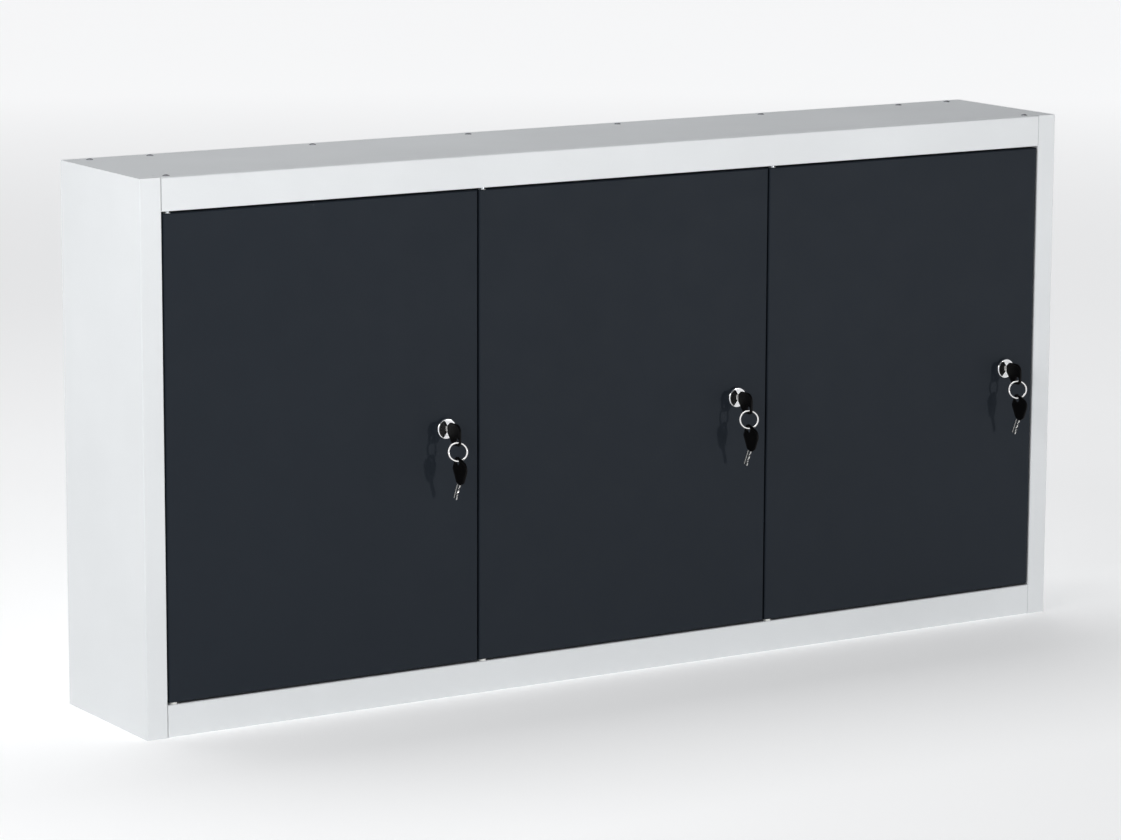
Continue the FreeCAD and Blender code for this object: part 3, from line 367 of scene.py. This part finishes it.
def make_piece(name, points, faces, material, sharp=35.0, lengthwise=None):
    """A mesh object at the origin from points in millimetres; points that fall together become one."""
    mesh = bpy.data.meshes.new(name)
    mesh.from_pydata((points * MM).tolist(), [], faces.tolist())
    if lengthwise is not None:
        layer = mesh.uv_layers.new(name="lengthwise")
        corners = np.empty(len(mesh.loops), dtype=np.int32)
        mesh.loops.foreach_get("vertex_index", corners)
        layer.data.foreach_set("uv", (lengthwise[corners] * MM).astype(np.float32).ravel())
    welded = bmesh.new()
    welded.from_mesh(mesh)
    bmesh.ops.remove_doubles(welded, verts=welded.verts, dist=2e-6)
    welded.to_mesh(mesh)
    welded.free()
    mesh.materials.append(material)
    mesh.shade_smooth()
    mesh.set_sharp_from_angle(angle=math.radians(sharp))
    piece = bpy.data.objects.new(name, mesh)
    bpy.context.scene.collection.objects.link(piece)
    return piece


def smooth_step(value, start, end):
    """0 before the start, 1 after the end, and an even S between them."""
    part = np.clip((value - start) / (end - start), 0.0, 1.0)
    return part * part * (3.0 - 2.0 * part)


def lock_centre(door):
    """The lock's axis on the door's front face, from the door panel's box."""
    low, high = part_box(f"{door}_door_panel")
    return np.array([high[0] / MM - LOCK_INSET, FRONT, LOCK_RISE])


def rounded_polygon(corners, radii, steps):
    """Points and outward normals along a convex outline: straight sides joined by arcs tangent to them.

    At each corner the arc's centre lies on the bisector, and the normal turns evenly from one side's to the
    next side's."""
    corners = np.asarray(corners, dtype=float)
    before = np.roll(corners, 1, axis=0) - corners
    after = np.roll(corners, -1, axis=0) - corners
    before /= np.linalg.norm(before, axis=1)[:, None]
    after /= np.linalg.norm(after, axis=1)[:, None]
    half = 0.5 * np.arccos(np.clip(np.sum(before * after, axis=1), -1.0, 1.0))
    bisector = before + after
    bisector /= np.linalg.norm(bisector, axis=1)[:, None]
    radii = np.asarray(radii, dtype=float)
    centres = corners + bisector * (radii / np.sin(half))[:, None]
    sweep = np.linspace(-1.0, 1.0, steps)[None, :] * (0.5 * math.pi - half)[:, None]
    outward = np.arctan2(-bisector[:, 1], -bisector[:, 0])[:, None]
    turning = np.sign(after[:, 0] * before[:, 1] - after[:, 1] * before[:, 0])[:, None]
    angle = outward + turning * sweep
    normals = np.stack([np.cos(angle), np.sin(angle)], axis=-1)
    points = centres[:, None, :] + normals * radii[:, None, None]
    return points.reshape(-1, 2), normals.reshape(-1, 2)


def fill_sides(points, normals, spacing):
    """Add evenly spaced points along the straight sides of a closed outline."""
    following = np.roll(points, -1, axis=0)
    gaps = np.linalg.norm(following - points, axis=1)
    counts = np.maximum(1, np.ceil(gaps / spacing).astype(int))
    start = np.repeat(np.arange(len(points)), counts)
    part = (np.arange(counts.sum()) - np.repeat(np.cumsum(counts) - counts, counts)) / counts[start]
    finish = (start + 1) % len(points)
    mixed = points[start] + (points[finish] - points[start]) * part[:, None]
    normal = normals[start] + (normals[finish] - normals[start]) * part[:, None]
    return mixed, normal / np.linalg.norm(normal, axis=1)[:, None]


# ---------------------------------------------------------------------------------------------------------
# Keys.  A key is worked out as it stands in its lock: X across the blade, Y into the lock, Z up.
# ---------------------------------------------------------------------------------------------------------
def spare_place(points, door):
    """Hang a key's points by the hole from the foot of the ring: Y becomes the way down, Z the plain side."""
    across = np.array([math.sin(SPARE_YAW), -math.cos(SPARE_YAW), 0.0])
    upward = np.array([0.0, 0.0, 1.0])
    down = -math.sin(SPARE_TILT) * across - math.cos(SPARE_TILT) * upward
    plain_side = math.cos(SPARE_TILT) * across - math.sin(SPARE_TILT) * upward
    turn = np.stack([np.cross(down, plain_side), down, plain_side])
    foot = lock_centre(door) + np.array([0.0, HOLE[1], HOLE[2] - 2.0 * (RING_DROP + RING_RADIUS)])
    return (points - HOLE) @ turn + foot


def key_head_shape():
    """A flat moulded head as one closed band, from the rounded outline across both faces to the round hole.

    Rows run from the middle of the rim over one face to the hole's wall and back over the other; columns run
    round the outline, and each column's ray ends on the hole's circle in the same direction.  The half
    thickness is the panel's, plus a step wherever the point is near the outline or near the hole, less a
    quarter-round fall at both edges."""
    corners = [(0, -4), (0, 4), (5, 8), (26.5, 8), (26.5, -15.8), (11, -15.8)]
    corner_radii = (1.8, 1.8, 2.5, 9.0, 4.0, 4.0)
    panel_half, border_step = 0.98, 0.32
    rim_rounding, hole_rounding, border = 0.5, 0.3, 2.1
    outline, normals = fill_sides(*rounded_polygon(corners, corner_radii, 12), 0.9)
    hole = np.array([-HOLE[1] - HEAD_STANDOFF, HOLE[2]])
    reach = outline - hole
    distance = np.linalg.norm(reach, axis=1)
    ray = reach / distance[:, None]
    squeeze = np.minimum(1.0, 0.46 * (distance - HOLE_RADIUS) / border)[:, None]
    from_rim = np.array([0.0, 0.06, 0.18, 0.34, 0.55, 1.1, 1.35, 1.5, 1.65, 1.8, border])[:, None, None]
    from_hole = np.array([0.0, 0.05, 0.15, 0.3, 0.8, 1.1, 1.25, 1.4, 1.6, border])[::-1, None, None]
    rim_rows = outline - normals * squeeze * from_rim
    hole_rows = hole + ray * (HOLE_RADIUS + squeeze * from_hole)
    between = np.linspace(0.0, 1.0, 12)[1:-1, None, None]
    middle_rows = rim_rows[-1] * (1.0 - between) + hole_rows[0] * between
    face = np.concatenate([rim_rows, middle_rows, hole_rows])
    to_rim = np.linalg.norm(face[:, :, None, :] - outline[None, None, :, :], axis=-1).min(axis=2)
    to_rim[0] = 0.0
    to_hole = np.linalg.norm(face - hole, axis=-1) - HOLE_RADIUS
    raised = np.maximum(1.0 - smooth_step(to_rim, 1.3, 1.7), 1.0 - smooth_step(to_hole, 1.1, 1.5))
    half = panel_half + border_step * raised
    for edge, radius in ((to_rim, rim_rounding), (to_hole, hole_rounding)):
        inside = np.clip(radius - edge, 0.0, radius)
        half = half - (radius - np.sqrt(radius * radius - inside * inside))
    front = np.dstack([half, face])
    back = np.dstack([-half, face])[::-1]
    rows = np.concatenate([front, back])
    points = np.stack([rows[..., 0], -HEAD_STANDOFF - rows[..., 1], rows[..., 2]], axis=-1)
    return points.reshape(-1, 3), grid_faces(len(rows), len(outline), close_rows=True)


def key_blade_shape():
    """A blade carried along its length: a section 6 high and 1.6 thick with a milled groove in each side.

    Stations run from inside the head to the nose.  The upper edge drops into four trapezium cuts, both edges
    close in on the nose, and a low shoulder stands just in front of the head.  Round the section, each side
    has its own groove, sunk by a smooth trough, and the edges are slightly rounded."""
    depths, first, pitch, flank, floor = (1.2, 0.6, 1.6, 0.9), 3.5, 3.2, 0.9, 1.0
    half_height, shoulder_half, half_thick, groove_depth = 3.0, 3.45, 0.8, 0.42
    buried, shoulder_end, nose_start, cuts_end, nose_end, length, tip = -3.0, 1.2, 18.5, 19.1, 20.4, 20.5, 0.5
    starts = [first + pitch * number for number in range(len(depths))]
    cut_at = [start + extra for start in starts for extra in (0.0, flank, flank + floor, 2.0 * flank + floor)]
    cut_to = [level for depth in depths
              for level in (half_height, half_height - depth, half_height - depth, half_height)]
    station = np.unique(np.round(np.concatenate([
        [buried, -2.999], np.linspace(-2.6, length, 110), cut_at,
        [shoulder_end, 1.21, 1.5, nose_start, cuts_end, nose_end, 20.499]]), 4))
    upper = np.interp(station, [buried, shoulder_end, 1.5, *cut_at, cuts_end, length],
                      [shoulder_half, shoulder_half, half_height, *cut_to, half_height, tip])
    lower = np.interp(station, [buried, shoulder_end, 1.5, nose_start, length],
                      [-shoulder_half, -shoulder_half, -half_height, -half_height, tip])
    thick = np.interp(station, [buried, -2.999, 18.8, nose_end, 20.499, length],
                      [0.0, half_thick, half_thick, 0.45, 0.4, 0.0])
    swell = np.where(thick > 0.0, 1.0, 0.0)
    climb = np.array([0.0, 0.02, 0.06, 0.16, 0.24, 0.29, 0.33, 0.37, 0.42, 0.47, 0.51, 0.55, 0.6, 0.68, 0.78,
                      0.88, 0.94, 0.98, 1.0])
    rounding = np.interp(climb, [0.0, 0.02, 0.06, 0.94, 0.98, 1.0], [0.72, 0.88, 1.0, 1.0, 0.88, 0.72])
    level = -half_height + 2.0 * half_height * climb[None, :]
    middle = 0.5 * (upper + lower)[:, None]
    height = middle + (np.clip(level, lower[:, None], upper[:, None]) - middle) * swell[:, None]
    outer = smooth_step(station, 0.6, 1.8)[:, None]
    grooves = []
    for bottom, top in ((-1.35, -0.15), (0.2, 1.2)):
        trough = smooth_step(height, bottom - 0.3, bottom) * (1.0 - smooth_step(height, top, top + 0.3))
        grooves.append(groove_depth * trough * outer)
    right = thick[:, None] * rounding - grooves[0] * (thick[:, None] > 0.3)
    left = -thick[:, None] * rounding + grooves[1] * (thick[:, None] > 0.3)
    across = np.concatenate([right, left[:, ::-1]], axis=1)
    up = np.concatenate([height, height[:, ::-1]], axis=1)
    along = np.broadcast_to(station[:, None], across.shape)
    points = np.stack([across, -HEAD_STANDOFF + along, up], axis=-1)
    lengthwise = np.stack([along, up + 0.5 * across], axis=-1)
    return points.reshape(-1, 3), grid_faces(*across.shape), lengthwise.reshape(-1, 2)


def split_ring_shape(centre):
    """Two flat turns of spring wire lying on each other, with a short cross-over between them.

    The middle of the wire goes round a circle; its place along the ring's axis rises by one thickness in a
    smooth step half way.  The section is a rounded oblong (a superellipse), and it narrows to a blunt point
    at both ends, which lie on either side of the cross-over."""
    cross_over, ends_at = math.radians(34.0), math.radians(118.0)
    half_wide, half_thick, point_length, squareness = 0.86, 0.43, 0.7, 0.55
    start, finish = 0.5 * cross_over + 0.04, 4.0 * math.pi - 0.5 * cross_over - 0.04
    turn = np.linspace(start, finish, 300)
    from_end = np.minimum(turn - start, finish - turn) * RING_RADIUS
    swell = np.sqrt(np.clip(1.0 - (1.0 - np.clip(from_end / point_length, 0.0, 1.0)) ** 2, 0.0, 1.0))[:, None]
    crossed = smooth_step(turn, 2.0 * math.pi - 0.5 * cross_over, 2.0 * math.pi + 0.5 * cross_over)
    layer = half_thick * 1.02 * (2.0 * crossed - 1.0)[:, None]
    around = np.linspace(0.0, 2.0 * math.pi, 20, endpoint=False)[None, :]
    wide = half_wide * np.sign(np.cos(around)) * np.abs(np.cos(around)) ** squareness
    thick = half_thick * np.sign(np.sin(around)) * np.abs(np.sin(around)) ** squareness
    angle = turn[:, None] + ends_at
    radial = RING_RADIUS + wide * swell
    axial = layer + thick * swell
    sideways = np.array([math.cos(RING_YAW), -math.sin(RING_YAW), 0.0])
    normal = np.array([math.sin(RING_YAW), math.cos(RING_YAW), 0.0])
    upward = np.array([0.0, 0.0, 1.0])
    points = (centre + (radial * np.cos(angle))[..., None] * sideways
              + (radial * np.sin(angle))[..., None] * upward + axial[..., None] * normal)
    return points.reshape(-1, 3), grid_faces(*radial.shape)


# ---------------------------------------------------------------------------------------------------------
# Locks
# ---------------------------------------------------------------------------------------------------------
def housing_shape(centre):
    """The housing as a half section turned about the lock's axis and closed on itself through the bore.

    The barrel carries a thread: its radius falls and rises with (distance along / pitch + turn), and two
    flats hold every point within eight millimetres of the axis on either side."""
    rim, height, round_off, length = 11.5, 4.0, 1.2, 21.0
    barrel, thread_pitch, thread_depth, half_flats = 9.3, 1.0, 0.55, 8.0
    bend = np.linspace(0.0, 0.5 * math.pi, 8)
    thread = np.linspace(0.6, 20.2, 150)
    depth = np.concatenate([
        [length, length, length - 0.4], thread[::-1], [0.3, 0.0, 0.0, -0.15],
        -height + round_off * (1.0 - np.sin(bend)),
        [-height, -height, -height + 0.25, -2.8, -2.8, -2.4, length - 0.1]])
    radius = np.concatenate([
        [6.35, 8.9, barrel], np.full(len(thread), barrel), [barrel, barrel, rim - 0.2, rim],
        rim - round_off * (1.0 - np.cos(bend)), [9.4, 7.75, 7.6, 7.6, 6.2, 6.05, 6.05]])
    threaded = np.zeros(len(depth))
    threaded[3:3 + len(thread)] = 1.0
    angle = np.linspace(0.0, 2.0 * math.pi, 96, endpoint=False)[None, :]
    wave = np.abs(((depth[:, None] / thread_pitch + angle / (2.0 * math.pi)) % 1.0) - 0.5) * 2.0
    turned = radius[:, None] - threaded[:, None] * thread_depth * wave
    behind_rim = (depth > 0.2) & (radius > half_flats)
    flat = half_flats / np.maximum(np.abs(np.cos(angle)), 0.2)
    turned = np.where(behind_rim[:, None], np.minimum(turned, flat), turned)
    points = centre + np.stack([turned * np.cos(angle), np.broadcast_to(depth[:, None], turned.shape),
                                turned * np.sin(angle)], axis=-1)
    return points.reshape(-1, 3), grid_faces(*turned.shape, close_rows=True)


def nut_shape(centre):
    """A hexagon nut: the outside is the smaller of the hexagon and a cone that chamfers each face."""
    side, half_side = math.radians(60.0), math.radians(30.0)
    apothem, thickness, behind_door = 13.0 * math.cos(half_side), 4.0, 1.0
    face_radius, cone_start, cone_slope = 10.6, 11.35, 1.9
    bore, bore_chamfer = 9.4, 0.35
    angle = np.linspace(0.0, 2.0 * math.pi, 144, endpoint=False)[None, :]
    hexagon = apothem / np.cos((angle % side) - half_side)
    level = np.concatenate([[0.0], np.linspace(0.0, thickness, 15), [thickness]])
    from_face = np.minimum(level, thickness - level)[:, None]
    outside = np.minimum(hexagon, cone_start + from_face * cone_slope)
    outside[0] = outside[-1] = face_radius
    depth = behind_door + np.concatenate([level, [thickness, thickness - bore_chamfer, bore_chamfer, 0.0]])
    mouth = bore + bore_chamfer
    inside = np.broadcast_to(np.array([mouth, bore, bore, mouth])[:, None], (4, angle.shape[1]))
    radius = np.concatenate([outside, inside])
    points = centre + np.stack([radius * np.cos(angle), np.broadcast_to(depth[:, None], radius.shape),
                                radius * np.sin(angle)], axis=-1)
    return points.reshape(-1, 3), grid_faces(*radius.shape, close_rows=True)


# ---------------------------------------------------------------------------------------------------------
# Number strips and weld marks
# ---------------------------------------------------------------------------------------------------------
def strip_shape(centre, length, height, thickness):
    """A thin card with rounded corners: its outline repeated at the back, the edges and the front, and drawn
    in to a point in the middle of both faces."""
    corners = [(-length / 2, -height / 2), (length / 2, -height / 2), (length / 2, height / 2),
               (-length / 2, height / 2)]
    outline, normals = fill_sides(*rounded_polygon(corners, (1.2,) * 4, 5), 12.0)
    inset = np.array([0.1, 0.0, 0.0, 0.1])[:, None, None]
    rings = outline[None] - normals[None] * inset
    rows = np.concatenate([np.zeros((1, *outline.shape)), rings, np.zeros((1, *outline.shape))])
    out = -thickness * np.array([0.0, 0.0, 0.3, 0.75, 1.0, 1.0])[:, None]
    depth = np.broadcast_to(out, rows.shape[:2])
    points = centre + np.stack([rows[..., 0], depth, rows[..., 1]], axis=-1)
    return points.reshape(-1, 3), grid_faces(*rows.shape[:2])


def number_shape(text, centre, height):
    """One printed number as flat type: its width runs along X, its height along Z, its face to the front."""
    curve = bpy.data.curves.new("type", "FONT")
    curve.body = text
    curve.size = height / CAPITAL_SHARE
    curve.align_x, curve.align_y = "CENTER", "CENTER"
    curve.resolution_u = 2
    curve.extrude = INK_THICKNESS
    holder = bpy.data.objects.new("type", curve)
    mesh = bpy.data.meshes.new_from_object(holder)
    mesh.calc_loop_triangles()
    flat = np.empty(3 * len(mesh.vertices), dtype=np.float64)
    mesh.vertices.foreach_get("co", flat)
    corners = np.empty(3 * len(mesh.loop_triangles), dtype=np.int32)
    mesh.loop_triangles.foreach_get("vertices", corners)
    bpy.data.objects.remove(holder)
    bpy.data.curves.remove(curve)
    bpy.data.meshes.remove(mesh)
    flat = flat.reshape(-1, 3)
    return centre + flat[:, [0, 2, 1]] * (1.0, -1.0, 1.0), corners.reshape(-1, 3)


def joined(shapes):
    """Several sets of points and faces as one."""
    offsets = np.cumsum([0] + [len(points) for points, faces in shapes[:-1]])
    return (np.concatenate([points for points, faces in shapes]),
            np.concatenate([faces + offset for offset, (points, faces) in zip(offsets, shapes)]))


def weld_mark_shapes(places):
    """Spot-weld marks on the back: shallow round dimples, each a turned profile with a low raised lip."""
    radius = np.array([0.0, 3.1, 3.1, 2.7, 2.3, 1.7, 0.0])[None, :, None]
    raised = np.array([-0.4, -0.4, 0.0, 0.11, 0.09, 0.02, 0.012])[None, :, None]
    angle = np.linspace(0.0, 2.0 * math.pi, 20, endpoint=False)[None, None, :]
    centre = np.asarray(places)[:, None, None, :]
    x, z = radius * np.cos(angle), radius * np.sin(angle)
    y = np.broadcast_to(raised, x.shape)
    points = centre + np.stack([x, y, z], axis=-1)
    rows, columns = points.shape[1:3]
    faces = grid_faces(rows, columns)
    offsets = np.arange(len(points))[:, None, None] * rows * columns
    return points.reshape(-1, 3), (faces[None] + offsets).reshape(-1, 4)


# ---------------------------------------------------------------------------------------------------------
# Put the pieces on their bodies
# ---------------------------------------------------------------------------------------------------------
def solid_piece(name, points, faces, slot, **finish):
    """A closed piece whose faces point outwards, in the finish of its slot."""
    return make_piece(name, points, face_outward(points, faces), FINISHES[slot], **finish)


for door in DOORS:
    centre = lock_centre(door)
    head, head_faces = key_head_shape()
    blade, blade_faces, lengthwise = key_blade_shape()
    for body, moved_head, moved_blade in (("key", head + centre, blade + centre),
                                          ("spare_key", spare_place(head, door), spare_place(blade, door))):
        grip = solid_piece(f"{door}_{body}_grip", moved_head, head_faces, "key_plastic",
                           sharp=HEAD_SHARP)
        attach(grip, f"{door}_{body}")
        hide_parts(f"{door}_{body}_head")
        shank = solid_piece(f"{door}_{body}_shank", moved_blade, blade_faces, "key_metal",
                            sharp=BLADE_SHARP, lengthwise=lengthwise)
        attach(shank, f"{door}_{body}")
        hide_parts(f"{door}_{body}_blade")
    ring_centre = centre + np.array([0.0, HOLE[1], HOLE[2] - RING_DROP - RING_RADIUS])
    ring = solid_piece(f"{door}_split_ring", *split_ring_shape(ring_centre), "ring_steel", sharp=60.0)
    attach(ring, f"{door}_ring")
    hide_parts(f"{door}_key_ring")
    housing = solid_piece(f"{door}_lock_body", *housing_shape(centre), "lock_chrome", sharp=40.0)
    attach(housing, f"{door}_door")
    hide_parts(f"{door}_lock_housing")
    nut = solid_piece(f"{door}_clamp_nut", *nut_shape(centre), "zinc_steel", sharp=30.0)
    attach(nut, f"{door}_door")
    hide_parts(f"{door}_lock_nut")

weld_places = []
for index, door in enumerate(DOORS):
    low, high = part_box(f"{door}_hook_rails")
    middle = 0.5 * (low[0] + high[0]) / MM
    levels = [RAIL_PITCH * (0.5 * (RAILS - 1) - row) for row in range(RAILS)]
    strips = [strip_shape(np.array([middle, RAIL_FRONT, level + STRIP_RISE]), STRIP_LENGTH, STRIP_HEIGHT,
                          STRIP_THICKNESS) for level in levels]
    card = solid_piece(f"{door}_number_strips", *joined(strips), "rail_paint", sharp=40.0)
    card.data.materials[0] = CARD
    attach(card, "root")
    numbers = []
    for row, level in enumerate(levels):
        for column in range(PEGS):
            number = index * RAILS * PEGS + row * PEGS + column + 1
            place = (middle + (column - 0.5 * (PEGS - 1)) * PEG_PITCH, RAIL_FRONT - STRIP_THICKNESS,
                     level + STRIP_RISE)
            numbers.append(number_shape(str(number), np.array(place), NUMBER_HEIGHT))
    points, faces = joined(numbers)
    print_run = make_piece(f"{door}_numbers", points, faces, INK)
    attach(print_run, "root")
    weld_places += [(middle + side * spacing, 0.0, level + up)
                    for level in levels for side in (-1, 1) for spacing in WELD_ACROSS for up in WELD_ABOVE]

marks = solid_piece("back_weld_marks", *weld_mark_shapes(weld_places), "carcass_paint", sharp=60.0)
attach(marks, "root")


# ---------------------------------------------------------------------------------------------------------
# Studio
# ---------------------------------------------------------------------------------------------------------
def studio_sheet(height, reach):
    """A flat floor of a few large faces round the object."""
    lines = 9
    steps = np.linspace(-reach, reach, lines)
    x, y = np.meshgrid(steps, steps, indexing="ij")
    points = np.stack([x, y, np.full_like(x, height)], axis=-1).reshape(-1, 3)
    faces = grid_faces(lines, lines, close_columns=False)[:, ::-1]
    return make_piece("studio_floor", points / MM, faces, FLOOR)


def softbox(name, place, target, width, height, watts):
    """A rectangular light of a given size in metres, aimed at a point."""
    lamp = bpy.data.lights.new(name, "AREA")
    lamp.shape = "RECTANGLE"
    lamp.size, lamp.size_y = width, height
    lamp.energy = watts
    light = bpy.data.objects.new(name, lamp)
    light.location = place
    light.rotation_euler = (Vector(target) - Vector(place)).to_track_quat("-Z", "Y").to_euler()
    bpy.context.scene.collection.objects.link(light)


def studio_sky(horizon, zenith):
    """Even light from all round at eye level that fades towards the top."""
    band_foot, band_top = 0.08, 0.22
    world = bpy.data.worlds.new("studio")
    world.use_nodes = True
    tree = world.node_tree
    direction = tree.nodes.new("ShaderNodeTexCoord").outputs["Generated"]
    parts = tree.nodes.new("ShaderNodeSeparateXYZ")
    tree.links.new(direction, parts.inputs["Vector"])
    rise = spread(tree, parts.outputs["Z"], 0.0, 1.0, band_foot, band_top)
    tint = blend_colours(tree, rise, horizon, zenith)
    background = tree.nodes["Background"]
    tree.links.new(tint, background.inputs["Color"])
    background.inputs["Strength"].default_value = 1.0
    bpy.context.scene.world = world


def studio_camera():
    """A long lens to the front left, a little above the cabinet."""
    place, focal_length = (-2.60281, -4.23762, 0.87201), 140.29
    yaw, pitch, roll = 0.5564, 0.1813, 0.0036
    forward = Vector((math.sin(yaw) * math.cos(pitch), math.cos(yaw) * math.cos(pitch), -math.sin(pitch)))
    right = Vector((math.cos(yaw), -math.sin(yaw), 0.0))
    up = right.cross(forward)
    right, up = (right * math.cos(roll) + up * math.sin(roll), up * math.cos(roll) - right * math.sin(roll))
    lens = bpy.data.cameras.new("camera")
    lens.lens, lens.sensor_width, lens.sensor_fit = focal_length, 36.0, "HORIZONTAL"
    lens.clip_end = 200.0
    camera = bpy.data.objects.new("camera", lens)
    facing = Matrix((right, up, -forward)).transposed().to_4x4()
    camera.matrix_world = Matrix.Translation(place) @ facing
    bpy.context.scene.collection.objects.link(camera)
    bpy.context.scene.camera = camera


floor_height = cad_bounds[0][2] - FLOOR_GAP
floor = studio_sheet(floor_height, FLOOR_REACH)
studio_sky(horizon=(0.90, 0.905, 0.915), zenith=(0.10, 0.105, 0.115))
softbox("left_softbox", place=(-3.8, -0.9, 1.5), target=(-0.6, -0.1, 0.1),
        width=2.0, height=2.0, watts=30.0)
softbox("front_left_softbox", place=(-2.0, -1.5, 0.9), target=(-0.5, -0.19, 0.0),
        width=1.0, height=1.0, watts=11.0)
softbox("overhead_softbox", place=(0.0, 0.9, 2.4), target=(0.0, -0.1, 0.3),
        width=3.2, height=1.2, watts=33.0)
softbox("right_key_light", place=(5.1, -8.5, -0.05), target=(0.1, -0.1, 0.0),
        width=0.36, height=0.36, watts=205.0)
studio_camera()
bpy.context.scene.view_settings.view_transform = "Standard"
